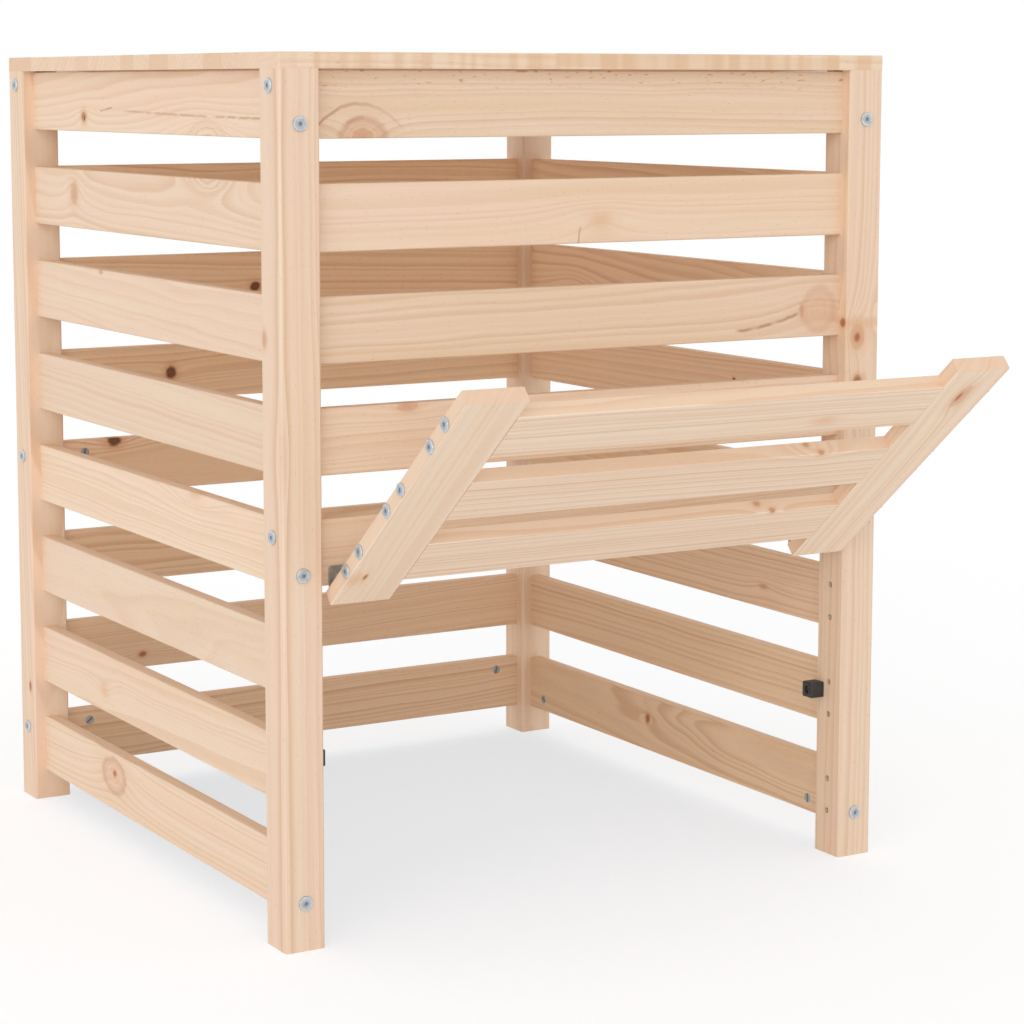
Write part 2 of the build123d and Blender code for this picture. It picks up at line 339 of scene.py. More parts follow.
@dataclass(frozen=True)
class Knot:
    """A knot, or a swirl of grain without one, in millimetres from the middle of its board.

    Places and spans go along the grain, across the width and through the depth. half is the size of
    the core, and sway is how far the rings are pushed aside at its middle, fading over reach. A span
    of DEEP goes right through.
    """

    place: Vec3
    half: Vec3
    kind: KnotKind
    sway: float
    reach: Vec3

    @classmethod
    def through(cls, place: Pair, half: Pair, kind: KnotKind, sway: float, reach: Pair) -> "Knot":
        """A knot that goes through the depth of its board, placed on the board's face."""
        return cls((*place, 0.0), (*half, DEEP), kind, sway, (*reach, DEEP))

    @classmethod
    def sideways(cls, place: Pair, half: Pair, kind: KnotKind, sway: float) -> "Knot":
        """A knot that goes through the width of its board, placed along and through the depth."""
        reach = (half[0] * 4, DEEP, half[1] * 2.5)
        return cls((place[0], 0.0, place[1]), (half[0], DEEP, half[1]), kind, sway, reach)

    @classmethod
    def swirl(cls, place: Pair, sway: float, reach: Pair) -> "Knot":
        """Grain that bends round a place with no knot in sight."""
        return cls.through(place, (1.0, 1.0), KnotKind.SWIRL, sway, reach)


@dataclass(frozen=True)
class Crack:
    """A fine dark check in a face, in millimetres from the board's middle, along then across.

    half is half its width, bow is how far its middle bends aside, share is how dark it is, wobble is
    how far it strays over each wobble_run, and fade is how much fainter it gets towards its end, or
    darker where it is below 0. It comes and goes over each break_run, is soft at its sides and tapers
    at its ends.
    """

    start: Pair
    end: Pair
    half: float
    bow: float
    share: float
    wobble: float
    fade: float = 0.0
    wobble_run: float = 9.0
    break_run: float = 25.0
    breaks: Pair = (0.2, 0.55)
    side: Pair = (1.5, 0.2)
    taper: Pair = (0.0, 0.4)


@dataclass(frozen=True)
class Cut:
    """How a board was sawn from its log, in millimetres. A field that is None is drawn by lot.

    The pith is the line that the rings go round. It lies beside the board's middle, across and in
    depth, and leans by the drifts for each millimetre of length. wander is how far the rings stray
    from true, ring is the width of a ring, and contrast is the share of late wood's colour in it.
    blush is the share of rosy streaks against honey ones, shade lightens or darkens the whole board,
    and resin is the share of dark flecks along the upper edge. shade is the board's own tone, and on
    some boards also painted light that lightens them, and on others painted shade that darkens them.
    """

    pith: Pair | None = None
    drift_across: float | None = None
    drift_depth: float | None = None
    wander: float | None = None
    ring: float | None = None
    contrast: float | None = None
    blush: float | None = None
    shade: float | None = None
    seed: float | None = None
    knots: tuple[Knot, ...] = ()
    cracks: tuple[Crack, ...] = ()
    resin: float = 0.0

    def drawn(self, node: str) -> "Cut":
        """Draw by lot what isn't known. A board is cut either flat or towards the quarter.

        Args:
            node: The board's node, which seeds its lots.

        Returns:
            The whole cut.
        """
        draw = np.random.default_rng([SEED, sorted(FRAME["nodes"]).index(node)])
        flat = draw.random() < FLAT_SAWN
        side = draw.choice([-1.0, 1.0], 2)
        across = side[0] * (draw.uniform(0, 22) if flat else draw.uniform(45, 110))
        lots = {
            "pith": (across, side[1] * draw.uniform(28, 75)),
            "drift_across": draw.uniform(-0.02, 0.02),
            "drift_depth": draw.uniform(-0.06, 0.06),
            "wander": draw.uniform(3.0, 7.0),
            "ring": draw.uniform(4.5, 8.0),
            "contrast": draw.uniform(0.28, 0.55),
            "blush": draw.uniform(0.1, 0.9),
            "shade": draw.uniform(-0.03, 0.02),
            "seed": draw.uniform(0, 100),
        }
        return replace(self, **{name: lot for name, lot in lots.items() if getattr(self, name) is None})


@dataclass(frozen=True)
class Board:
    """One piece of timber: its node, the directions of its grain and width, and its cut."""

    node: str
    along: Vec3
    across: Vec3
    cut: Cut

    def middle(self) -> Vector:
        """The middle of the board, from its node's box."""
        low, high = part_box(self.node)
        return (low + high) / 2

    def turn(self) -> Euler:
        """The turn from the pattern's axes, grain first, to the board's own."""
        along, across = Vector(self.along), Vector(self.across)
        return Matrix((along, across, along.cross(across))).transposed().to_euler()


@dataclass(frozen=True)
class Grain:
    """The wood of one board as shader nodes.

    place is the point on the board in millimetres, and spots are its three numbers: along the grain,
    across the width and through the depth.
    """

    finish: "PineFinish"
    bench: Bench
    place: Socket
    spots: tuple[Value, Value, Value]
    cut: Cut

    def noise(self, span: Vec3, lot: float = 0.0, **more: float) -> tuple[Value, Value, Value]:
        """Soft noise of the board's own, another for each lot."""
        return self.bench.noise(self.place, span, self.cut.seed + lot, **more)

    def apart(self, place: Vec3, spans: Vec3) -> Value:
        """Squared distance from a place, each direction measured as a share of its span.

        Args:
            place: Where to measure from.
            spans: Length that counts as 1 in each direction, or DEEP to leave it out.

        Returns:
            The sum of the squared shares.
        """
        ways = zip(self.spots, place, spans)
        parts = [((spot - at) / span) ** 2 for spot, at, span in ways if span < DEEP]
        return sum(parts[1:], parts[0])

    def rings(self) -> tuple[Value, list[Value]]:
        """Count the rings out from the pith.

        The count is the distance from the pith line, bent by slow noise and pushed aside round each
        knot, divided by the width of a ring. A second noise makes good and lean years.

        Returns:
            The ring count, and each knot's distance as a share of its core's size.
        """
        look, cut = self.finish, self.cut
        along, across, depth = self.spots
        wander = self.noise(look.wander_span)
        side = across - cut.pith[0] - along * cut.drift_across + (wander[0] - 0.5) * cut.wander * 2
        inwards = depth - cut.pith[1] - along * cut.drift_depth + (wander[1] - 0.5) * cut.wander * 3
        radius = (side * side + inwards * inwards).root()
        uneven = self.noise(look.ragged_span, 5)[0] - 0.5
        cores = []
        for knot in cut.knots:
            radius = radius + knot.sway / (1 + self.apart(knot.place, knot.reach)) ** 1.5
            ragged = uneven * min(0.9, 4 / min(knot.half))
            cores.append(self.apart(knot.place, knot.half).root() + ragged)
        count = radius / cut.ring
        years = self.bench.run_noise(count * look.year_pace + cut.seed) - 0.5
        return count + years * look.year_swing, cores

    def wood(self) -> tuple[Socket, Value]:
        """Colour the rings, fibres and flecks of clear wood, then its knots and cracks.

        Returns:
            The colour's socket, and the relief of the grain between 0 and 1.
        """
        bench, look, cut = self.bench, self.finish, self.cut
        count, cores = self.rings()
        turn = count.fract()
        line = turn.step(*look.rise) * turn.step(*look.fall)
        faint = bench.run_noise(count * look.line_pace + cut.seed * 3) * look.line_gain
        line = line * faint.step(*look.faint_lines)
        fibre = self.noise(look.fibre_span, rough=0.6)[0]
        streak = self.noise(look.streak_span, 7)
        fleck = self.noise(look.fleck_span, 3, detail=0.0)[0]
        base = bench.mix(streak[0].step(*look.rosy_streaks) * cut.blush, look.early, look.rosy)
        honey = streak[1].step(*look.honey_streaks) * (1 - cut.blush) * look.honey_share
        base = bench.mix(honey, base, look.honey)
        colour = bench.mix(line * (cut.contrast * look.line_share), base, look.late)
        colour = bench.mix(fleck.step(*look.flecks) * look.fleck_share, colour, look.fleck)
        if cut.resin:
            speck = self.noise(look.resin_span, 9, detail=0.0)[0]
            share = speck.step(*look.resin_flecks) * self.spots[1].step(*look.resin_band) * cut.resin
            colour = bench.mix(share, colour, look.resin)
        for knot, core in zip(cut.knots, cores):
            if knot.kind is not KnotKind.SWIRL:
                colour = self.knotted(colour, core, knot.kind.value)
        for crack in cut.cracks:
            colour = self.cracked(colour, crack)
        # shade is each board's own tone, with painted light on some boards and painted shade on others; the
        # fibres vary it a little.
        colour = bench.shaded(colour, 1.0 + cut.shade + (fibre - 0.5) * look.fibre_shade)
        return colour, fibre * look.fibre_relief + line * (1 - look.fibre_relief)

    def knotted(self, colour: Socket, core: Value, look: KnotLook) -> Socket:
        """Lay one knot over the wood: a halo round it, a core with its own rings, and a darker rim.

        Args:
            colour: The wood so far.
            core: Distance from the knot's middle, as a share of its core.
            look: How the knot shows.

        Returns:
            The colour with the knot on it.
        """
        bench = self.bench
        colour = bench.mix(core.step(*look.halo_edge) * look.halo, colour, self.finish.halo)
        uneven = bench.run_noise(core * 2 + self.cut.seed)
        growth = (core * look.pace + uneven).fract().step(*look.ring_edge)
        inner = bench.mix(growth * look.growth, look.tone, look.line)
        colour = bench.mix(core.step(look.fill_end, look.firm) * look.fill, colour, inner)
        rim = core.step(*look.rim_start) * core.step(*look.rim_end) * look.rim
        return bench.mix(rim, colour, look.line)

    def cracked(self, colour: Socket, crack: Crack) -> Socket:
        """Draw a fine check: a thin band about a bowed line, tapering to nothing at its ends.

        run is the share of the way along the line, and off is the distance beside it. The bow swells
        with run times 1 less run. Slow noise along the line moves it and makes it come and go.

        Args:
            colour: The wood so far.
            crack: The check.
        """
        bench, seed = self.bench, self.cut.seed
        length = math.dist(crack.start, crack.end)
        ahead = [(end - start) / length for start, end in zip(crack.start, crack.end)]
        gone = (self.spots[0] - crack.start[0], self.spots[1] - crack.start[1])
        way = gone[0] * ahead[0] + gone[1] * ahead[1]
        off = gone[1] * ahead[0] - gone[0] * ahead[1]
        run = way / length
        swell = run * (1 - run) * 4
        wobble = (bench.run_noise(way / crack.wobble_run + seed) - 0.5) * crack.wobble
        aside = abs(off - swell * crack.bow - wobble) / crack.half
        band = aside.step(*crack.side) * swell.step(*crack.taper)
        broken = bench.run_noise(way / crack.break_run + seed * 2).step(*crack.breaks)
        faded = broken * (1 - run * crack.fade)
        return bench.mix(band * faded * crack.share, colour, self.finish.check)


@dataclass(frozen=True)
class PineFinish:
    """Planed, unfinished pine: rings round a pith, knots, fibres, resin flecks and end grain, with painted
    shade on its long edges.

    The spans are the sizes of its noises along, across and through the grain, in millimetres. rise
    and fall are where late wood starts and ends, as shares of a ring. The other pairs are the values
    between which a pattern comes in, and a share is how much of its colour then shows. A facing is
    how squarely a face looks along the board's width or grain.
    """

    early: Colour = paint(244, 219, 193)
    late: Colour = paint(219, 175, 133)
    rosy: Colour = paint(245, 214, 191)
    honey: Colour = paint(237, 204, 165)
    fleck: Colour = paint(168, 116, 82)
    halo: Colour = paint(224, 170, 122)
    check: Colour = paint(168, 108, 66)
    resin: Colour = paint(188, 122, 74)
    end_tint: Colour = paint(230, 189, 156)
    # Painted shade: the long edges take a darker, warmer tint, as they catch less light than the faces.
    edge_shade_tint: Colour = paint(234, 195, 155)
    edge_shade_share: float = 0.35
    end_share: float = 0.55
    line_share: float = 1.0
    rise: Pair = (0.15, 0.86)
    fall: Pair = (1.0, 0.89)
    wander_span: Vec3 = (240.0, 60.0, 60.0)
    ragged_span: Vec3 = (11.0, 6.0, 6.0)
    fibre_span: Vec3 = (60.0, 0.9, 0.9)
    streak_span: Vec3 = (420.0, 16.0, 16.0)
    fleck_span: Vec3 = (5.0, 0.8, 0.8)
    resin_span: Vec3 = (7.0, 2.4, 2.4)
    pore_span: Vec3 = (20.0, 1 / 1.4, 1 / 1.4)
    year_pace: float = 0.33
    year_swing: float = 2.2
    line_pace: float = 0.8
    line_gain: float = 1.3
    faint_lines: Pair = (0.2, 1.0)
    rosy_streaks: Pair = (0.3, 0.7)
    honey_streaks: Pair = (0.4, 0.75)
    honey_share: float = 0.7
    flecks: Pair = (0.74, 0.82)
    fleck_share: float = 0.25
    resin_flecks: Pair = (0.68, 0.84)
    resin_band: Pair = (8.0, 20.0)
    fibre_shade: float = 0.12
    fibre_relief: float = 0.7
    edge_facing: Pair = (0.8, 0.95)
    end_facing: Pair = (0.6, 0.9)
    pores: Pair = (0.35, 0.75)
    pore_share: float = 0.35
    rough: float = 0.68
    polish: float = 0.14
    gloss: float = 0.3
    relief: float = 0.1

    def staves(self, bench: Bench, place: Socket) -> tuple[Socket, Value | None]:
        """A board is one stave, so its places stay as they are and its tone is even."""
        return place, None

    def dress(self, board: Board) -> None:
        """Make the material of one board and put it on the board's node.

        Args:
            board: The board.
        """
        bench = Bench(bpy.data.materials.new(f"pine_{board.node}"))
        surface = bench.node("ShaderNodeTexCoord").outputs
        seat = {"Location": board.middle(), "Rotation": board.turn(), "Scale": (MM, MM, MM)}
        mapping = bench.node(
            "ShaderNodeMapping", {"vector_type": "TEXTURE"}, {"Vector": surface["Object"], **seat}
        )
        place, tone = self.staves(bench, mapping.outputs["Vector"])
        colour, relief = Grain(self, bench, place, bench.split(place), board.cut).wood()
        if tone is not None:
            colour = bench.mix(tone, colour, self.late)
        # Painted shade on the faces that look along the board's width.
        edge = abs(bench.dot(surface["Normal"], board.across)).step(*self.edge_facing)
        colour = bench.mix(edge * self.edge_shade_share, colour, self.edge_shade_tint)
        end = abs(bench.dot(surface["Normal"], board.along)).step(*self.end_facing)
        pores = bench.noise(place, self.pore_span, detail=1.0)[0]
        sawn = bench.mix(pores.step(*self.pores) * self.pore_share, self.end_tint, self.late)
        colour = bench.mix(end * self.end_share, colour, sawn)
        rough = self.rough - relief * self.polish
        sockets = {"Base Color": colour, "Roughness": rough, "Specular IOR Level": self.gloss}
        wear(FRAME["nodes"][board.node], bench.finish(sockets, relief, self.relief))
        LOG.info("dressed %s", board.node)


@dataclass(frozen=True)
class PanelFinish(PineFinish):
    """Pine glued up edge to edge from staves, which are finger-jointed from short lengths.

    scatter is how far apart in a log two lengths can come from, along, across and in depth. Staves
    vary in width by sway over each sway_run. outer_band is how far the outer edges reach in.
    """

    edge_shade_share: float = 0.0
    end_tint: Colour = paint(242, 211, 185)
    end_share: float = 0.5
    half_depth: float = 317.5
    stave: float = 38.0
    length: float = 310.0
    finger: float = 7.0
    finger_reach: float = 6.0
    sway: float = 0.7
    sway_run: float = 90.0
    seams: Pair = (0.485, 0.498)
    seam_share: float = 0.25
    tones: Pair = (0.35, 0.8)
    tone_share: float = 0.6
    outer_band: Pair = (0.9, 0.4)
    mottle: float = 19.0
    mottles: Pair = (0.4, 0.62)
    mottle_share: float = 0.45
    scatter: Vec3 = (700.0, 150.0, 90.0)

    def staves(self, bench: Bench, place: Socket) -> tuple[Socket, Value]:
        """Cut the panel into lengths of stave, each from another place in a log.

        A stave is a lane across the panel, of uneven width. A length of it ends at a zigzag line. Lots
        drawn for each length move its places and set its tone. The factors of row and cell only keep
        the lots of neighbouring lengths apart. The outer edges are mottled as well.

        Args:
            bench: The panel's bench.
            place: Place on the panel in millimetres, grain first.

        Returns:
            The moved place's socket, and the share of late wood's tone.
        """
        along, across, depth = bench.split(place)
        lane = across / self.stave + bench.run_noise(across / self.sway_run) * self.sway
        row = lane.floor()
        zigzag = abs((across / self.finger).fract() - 0.5) * self.finger_reach * 2
        cell = ((along + zigzag) / self.length + bench.chance(row) * 9).floor()
        first = bench.chance(row * 13.7 + cell * 3.1)
        second = bench.chance(row * 5.3 + cell * 17.9 + 0.5)
        moved = {
            0: along + first * self.scatter[0],
            1: (lane.fract() - 0.5) * self.stave + (first - 0.5) * self.scatter[1],
            2: depth + (second - 0.5) * self.scatter[2],
        }
        seam = abs(lane.fract() - 0.5).step(*self.seams) * self.seam_share
        outer = abs(across).step(*(self.half_depth - reach for reach in self.outer_band))
        mottled = bench.run_noise(along / self.mottle).step(*self.mottles) * self.mottle_share
        tone = (1 - outer) * second.step(*self.tones) * self.tone_share + outer * mottled + seam
        return bench.node("ShaderNodeCombineXYZ", inputs=moved).outputs[0], tone


@dataclass(frozen=True)
class SteelFinish:
    """Steel under a thin coat: cloudy in colour and gloss, with a drawn grain, and painted shade with some
    soiling in recesses.

    cloud and grain are the sizes of those patterns, in millimetres. clouds is the pair of values
    between which the dull tone comes in. Each of the rest is how much one thing changes another.
    """

    name: str
    bright: Colour
    dull: Colour
    rough: float
    cloud: float
    grain: Vec3
    metal: float
    # Painted shade with a little soiling: the colour that recesses take, where the mesh marks them.
    grime_and_shade: Colour = paint(140, 146, 152)
    clouds: Pair = (0.3, 0.7)
    grain_shade: float = 0.2
    cloud_rough: float = 0.25
    grain_rough: float = 0.1
    grime_and_shade_rough: float = 0.25
    grime_and_shade_dull: float = 0.4
    relief: float = 0.02

    def material(self) -> bpy.types.Material:
        """Make the material.

        Returns:
            The material.
        """
        bench = Bench(bpy.data.materials.new(self.name))
        place = bench.millimetres()
        cloud = bench.noise(place, (self.cloud,) * 3, detail=3.0, rough=0.6)
        grain = bench.noise(place, self.grain)[0]
        colour = bench.mix(cloud[0].step(*self.clouds), self.bright, self.dull)
        colour = bench.shaded(colour, 1.0 + (grain - 0.5) * self.grain_shade)
        # The mesh marks recesses: darkening them is painted shade with a little soiling, and they are also
        # rougher and less metallic.
        grime_and_shade = Value(bench, bench.node("ShaderNodeAttribute", {"attribute_name": "grime_and_shade"}).outputs["Fac"])
        colour = bench.mix(grime_and_shade, colour, self.grime_and_shade)
        rough = self.rough + (cloud[1] - 0.5) * self.cloud_rough + (grain - 0.5) * self.grain_rough
        rough = rough + grime_and_shade * self.grime_and_shade_rough
        metal = self.metal - grime_and_shade * self.grime_and_shade_dull
        sockets = {"Base Color": colour, "Roughness": rough, "Metallic": metal}
        return bench.finish(sockets, grain, self.relief)


@dataclass(frozen=True)
class PlasticFinish:
    """Matt moulded plastic with a fine spark-eroded skin, worn in patches and on its high points.

    skin and patch are sizes in millimetres. Each pair holds the values between which wear comes in.
    """

    name: str = "moulded_black"
    body: Colour = paint(46, 45, 44)
    worn: Colour = paint(66, 65, 63)
    skin: float = 0.25
    patch: float = 6.0
    worn_patches: Pair = (0.4, 0.7)
    patch_share: float = 0.4
    worn_points: Pair = (0.6, 0.8)
    point_share: float = 0.2
    rough: float = 0.48
    skin_rough: float = 0.16
    relief: float = 0.04

    def material(self) -> bpy.types.Material:
        """Make the material.

        Returns:
            The material.
        """
        bench = Bench(bpy.data.materials.new(self.name))
        place = bench.millimetres()
        skin = bench.noise(place, (self.skin,) * 3, rough=0.7)[0]
        patch = bench.noise(place, (self.patch,) * 3)[0]
        worn = patch.step(*self.worn_patches) * self.patch_share
        worn = worn + skin.step(*self.worn_points) * self.point_share
        colour = bench.mix(worn, self.body, self.worn)
        rough = self.rough + skin * self.skin_rough
        return bench.finish({"Base Color": colour, "Roughness": rough}, skin, self.relief)


PINE = PineFinish()
POST_PINE = PineFinish(edge_shade_share=0.0)
# Painted light and shade: the flap's pine is lighter, for the little light on the flap's face, with darker
# edges; its grain also shows more.
FLAP_PINE_LIGHTENED = PineFinish(
    paint(244, 222, 199),
    paint(212, 164, 122),
    paint(245, 218, 198),
    paint(238, 209, 174),
    edge_shade_tint=paint(228, 188, 152),
    edge_shade_share=0.5,
    line_share=1.2,
)
STILE_PINE_LIGHTENED = replace(FLAP_PINE_LIGHTENED, edge_shade_tint=paint(222, 182, 148), edge_shade_share=0.4, line_share=1.0)
# Painted light: the inner walls' pine is warmer and lighter, for the warm light that bounces about inside the
# bin.
WARM_PINE_LIGHTENED = PineFinish(
    paint(249, 220, 187), paint(206, 150, 100), paint(249, 217, 189), paint(245, 208, 164), line_share=1.15
)
ZINC = SteelFinish(
    "zinc_plate",
    bright=paint(216, 223, 228),
    dull=paint(186, 194, 200),
    rough=0.36,
    cloud=3.0,
    grain=(1 / 6, 1 / 6, 1 / 6),
    metal=0.85,
)
NUT_ZINC = replace(
    ZINC, name="nut_plate", bright=paint(190, 194, 198), dull=paint(164, 168, 172), metal=0.45
)
# Painted shade: the screws sunk in the stops take a much darker colour in their recesses.
STOP_ZINC_IN_SHADE = replace(ZINC, name="stop_screw_plate_in_shade", grime_and_shade=paint(70, 70, 72))
HINGE_STEEL = SteelFinish(
    "hinge_plate",
    bright=paint(178, 173, 166),
    dull=paint(150, 145, 138),
    rough=0.46,
    cloud=5.0,
    grain=(1 / 0.3, 1 / 8, 1 / 8),
    metal=0.5,
)


def ring(radii: np.ndarray, height: float) -> np.ndarray:
    """Points at a radius for each angle, all at one height."""
    return np.column_stack([radii * np.cos(ANGLES), radii * np.sin(ANGLES), np.full(SIDES, height)])


def circles(profile: list[Pair]) -> list[np.ndarray]:
    """A circle for each radius and height of a profile."""
    return [ring(np.full(SIDES, radius), height) for radius, height in profile]


def plate_ring(half: Pair, corner: float, height: float) -> np.ndarray:
    """A rectangle with round corners: each corner's own middle plus the corner's radius.

    Args:
        half: Half the length and half the width.
        corner: Radius of the corners.
        height: Height of the ring.

    Returns:
        The ring's points.
    """
    turn = np.stack([np.cos(ANGLES), np.sin(ANGLES)], axis=1).round(9)
    flat = np.sign(turn) * (np.array(half) - corner) + turn * corner
    return np.column_stack([flat, np.full(SIDES, height)])


def middle_of(points: np.ndarray) -> np.ndarray:
    """The middle of the points' box."""
    return (points.min(axis=0) + points.max(axis=0)) / 2


class Drive(Enum):
    """The recess that a tool turns a fastener by."""

    HEXAGON = "hexagon"
    CROSS = "cross"
    SLOT = "slot"

    def radii(self, size: float, slim: float = 0.24) -> np.ndarray:
        """Radius of the recess at each angle.

        A hexagon's is its half width over the cosine of the angle from the nearest flat. A bar of half
        length a and half width b reaches the lesser of a over the cosine and b over the sine. A cross
        is the larger of two such bars.

        Args:
            size: Half the width of the hexagon, or half the length of a bar.
            slim: Width of a bar as a share of its length.

        Returns:
            The radii.
        """
        if self is Drive.HEXAGON:
            sixth = np.pi / 3
            return size / np.cos((ANGLES % sixth) - sixth / 2)
        cosine = np.abs(np.cos(ANGLES)).clip(1e-6)
        sine = np.abs(np.sin(ANGLES)).clip(1e-6)
        bar = np.minimum(size / cosine, size * slim / sine)
        if self is Drive.SLOT:
            return bar
        return np.maximum(bar, np.minimum(size * slim / cosine, size / sine))


@dataclass(frozen=True)
class Skin:
    """A surface: its points, blocks of faces with as many corners each, and the painted shade and soiling at
    each point.
    """

    points: np.ndarray
    faces: tuple[np.ndarray, ...]
    grime_and_shade: np.ndarray

    @classmethod
    def lathe(cls, rings: list[np.ndarray], grime_and_shade: tuple[float, ...] = ()) -> "Skin":
        """Join rings into a closed skin, from the middle of the first to the middle of the last.

        Each pair of neighbouring rings is joined by four-sided faces, and a fan closes each end.

        Args:
            rings: Rings from the top down, each counter-clockwise seen from above.
            grime_and_shade: Painted shade with a little soiling on the first rings, from 0 to 1. The others
                have none.

        Returns:
            The skin.
        """
        grid = np.arange(len(rings) * SIDES).reshape(len(rings), SIDES)
        after = np.roll(grid, -1, axis=1)
        quads = np.stack([grid[:-1], grid[1:], after[1:], after[:-1]], axis=-1).reshape(-1, 4)
        top = np.full(SIDES, grid.size)
        near = np.stack([top, grid[0], after[0]], axis=1)
        far = np.stack([top + 1, after[-1], grid[-1]], axis=1)
        points = np.concatenate([*rings, [rings[0].mean(axis=0), rings[-1].mean(axis=0)]])
        # How far each ring is darkened: painted shade in recesses, with a little soiling.
        grime_and_shade_levels = np.zeros(len(rings))
        grime_and_shade_levels[: len(grime_and_shade)] = grime_and_shade
        grime_and_shade_levels = np.append(grime_and_shade_levels.repeat(SIDES), grime_and_shade_levels[[0, -1]])
        return cls(points, (quads, np.concatenate([near, far])), grime_and_shade_levels)

    @classmethod
    def prism(cls, outline: np.ndarray, start: float, end: float) -> "Skin":
        """Carry an outline along the first axis and close both ends.

        Args:
            outline: Points on the other two axes, counter-clockwise seen from the end.
            start: Where it starts.
            end: Where it ends.

        Returns:
            The skin.
        """
        count = len(outline)
        low = np.arange(count)
        after = np.roll(low, -1)
        quads = np.stack([low, after, after + count, low + count], axis=1)
        caps = np.stack([low[::-1], low + count])
        points = [np.column_stack([np.full(count, at), outline]) for at in (start, end)]
        return cls(np.concatenate(points), (quads, caps), np.zeros(count * 2))

    @classmethod
    def joined(cls, skins: list["Skin"]) -> "Skin":
        """Lay several skins together as one.

        Args:
            skins: The skins.

        Returns:
            The one skin.
        """
        starts = np.cumsum([0] + [len(skin.points) for skin in skins])
        faces = [block + start for skin, start in zip(skins, starts) for block in skin.faces]
        points = np.concatenate([skin.points for skin in skins])
        return cls(points, tuple(faces), np.concatenate([skin.grime_and_shade for skin in skins]))

    def placed(self, origin: np.ndarray, axes: np.ndarray) -> "Skin":
        """Stand the skin on a place: origin plus each coordinate times its own direction."""
        return Skin(origin + self.points @ axes, self.faces, self.grime_and_shade)

    def build(
        self, name: str, body: str, slot: str, material: bpy.types.Material, stands_for: str | None = None
    ) -> None:
        """Make the skin a piece of the bin.

        Args:
            name: The piece's name.
            body: The body that it moves with.
            slot: The record's material slot; not used.
            material: Its material.
            stands_for: The node that it takes the place of, if any.
        """
        mesh = bpy.data.meshes.new(name)
        faces = [face for block in self.faces for face in block.tolist()]
        mesh.from_pydata((self.points * MM).tolist(), [], faces)
        # The darkening of each point, painted shade with a little soiling, which the steel finishes read.
        mesh.attributes.new("grime_and_shade", "FLOAT", "POINT").data.foreach_set("value", self.grime_and_shade)
        mesh.shade_smooth()
        mesh.set_sharp_from_angle(angle=CREASE)
        piece = linked(name, mesh)
        wear(piece, material)
        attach(piece, body)
        if stands_for:
            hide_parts(stands_for)
        LOG.info("built %s on %s", name, body)


def node_points(node: str) -> tuple[np.ndarray, np.ndarray]:
    """Read a node's mesh, with corners at the same place taken as one.

    Args:
        node: The node.

    Returns:
        Its points in millimetres, and its triangles.
    """
    mesh = FRAME["nodes"][node].data
    flat = np.empty(len(mesh.vertices) * 3)
    mesh.vertices.foreach_get("co", flat)
    points, welded = np.unique((flat.reshape(-1, 3) / MM).round(3), axis=0, return_inverse=True)
    corners = np.empty(len(mesh.loops), dtype=int)
    mesh.loops.foreach_get("vertex_index", corners)
    return points, welded.reshape(-1)[corners].reshape(-1, 3)


def node_solids(node: str) -> list[np.ndarray]:
    """Split a node into its separate solids.

    Each point starts with its own number, and every triangle hands the least of its numbers to its
    corners until nothing changes. A solid's points then share one number.

    Args:
        node: The node.

    Returns:
        Each solid's points in millimetres.
    """
    points, triangles = node_points(node)
    label = np.arange(len(points))
    while True:
        handed = label.copy()
        np.minimum.at(handed, triangles, label[triangles].min(axis=1, keepdims=True))
        if (handed == label).all():
            return [points[label == number] for number in np.unique(label)]
        label = handed


class Facing(Enum):
    """Which end of a fastener its head is on, seen from the middle of the bin."""

    OUT = 1
    IN = -1


@dataclass(frozen=True)
class Seat:
    """Where a round piece of hardware sits: the middle of its head, its axes and its sizes."""

    top: np.ndarray
    axes: np.ndarray
    radius: float
    length: float

    @classmethod
    def found(cls, solid: np.ndarray, facing: Facing, twist: float = 0.0) -> "Seat":
        """Find the seat of a solid from its box, whose long side is its axis.

        Args:
            solid: The solid's points.
            facing: The end that its head is on.
            twist: Turn about its own axis.

        Returns:
            The seat.
        """
        middle, spans = middle_of(solid), np.ptp(solid, axis=0)
        axis = int(spans.argmax())
        outward = np.zeros(3)
        outward[axis] = facing.value * np.sign(middle[axis])
        first = np.roll(np.abs(outward), 1)
        turned = first * math.cos(twist) + np.cross(outward, first) * math.sin(twist)
        axes = np.stack([turned, np.cross(outward, turned), outward])
        return cls(middle + outward * spans[axis] / 2, axes, np.delete(spans, axis).max() / 2, spans[axis])


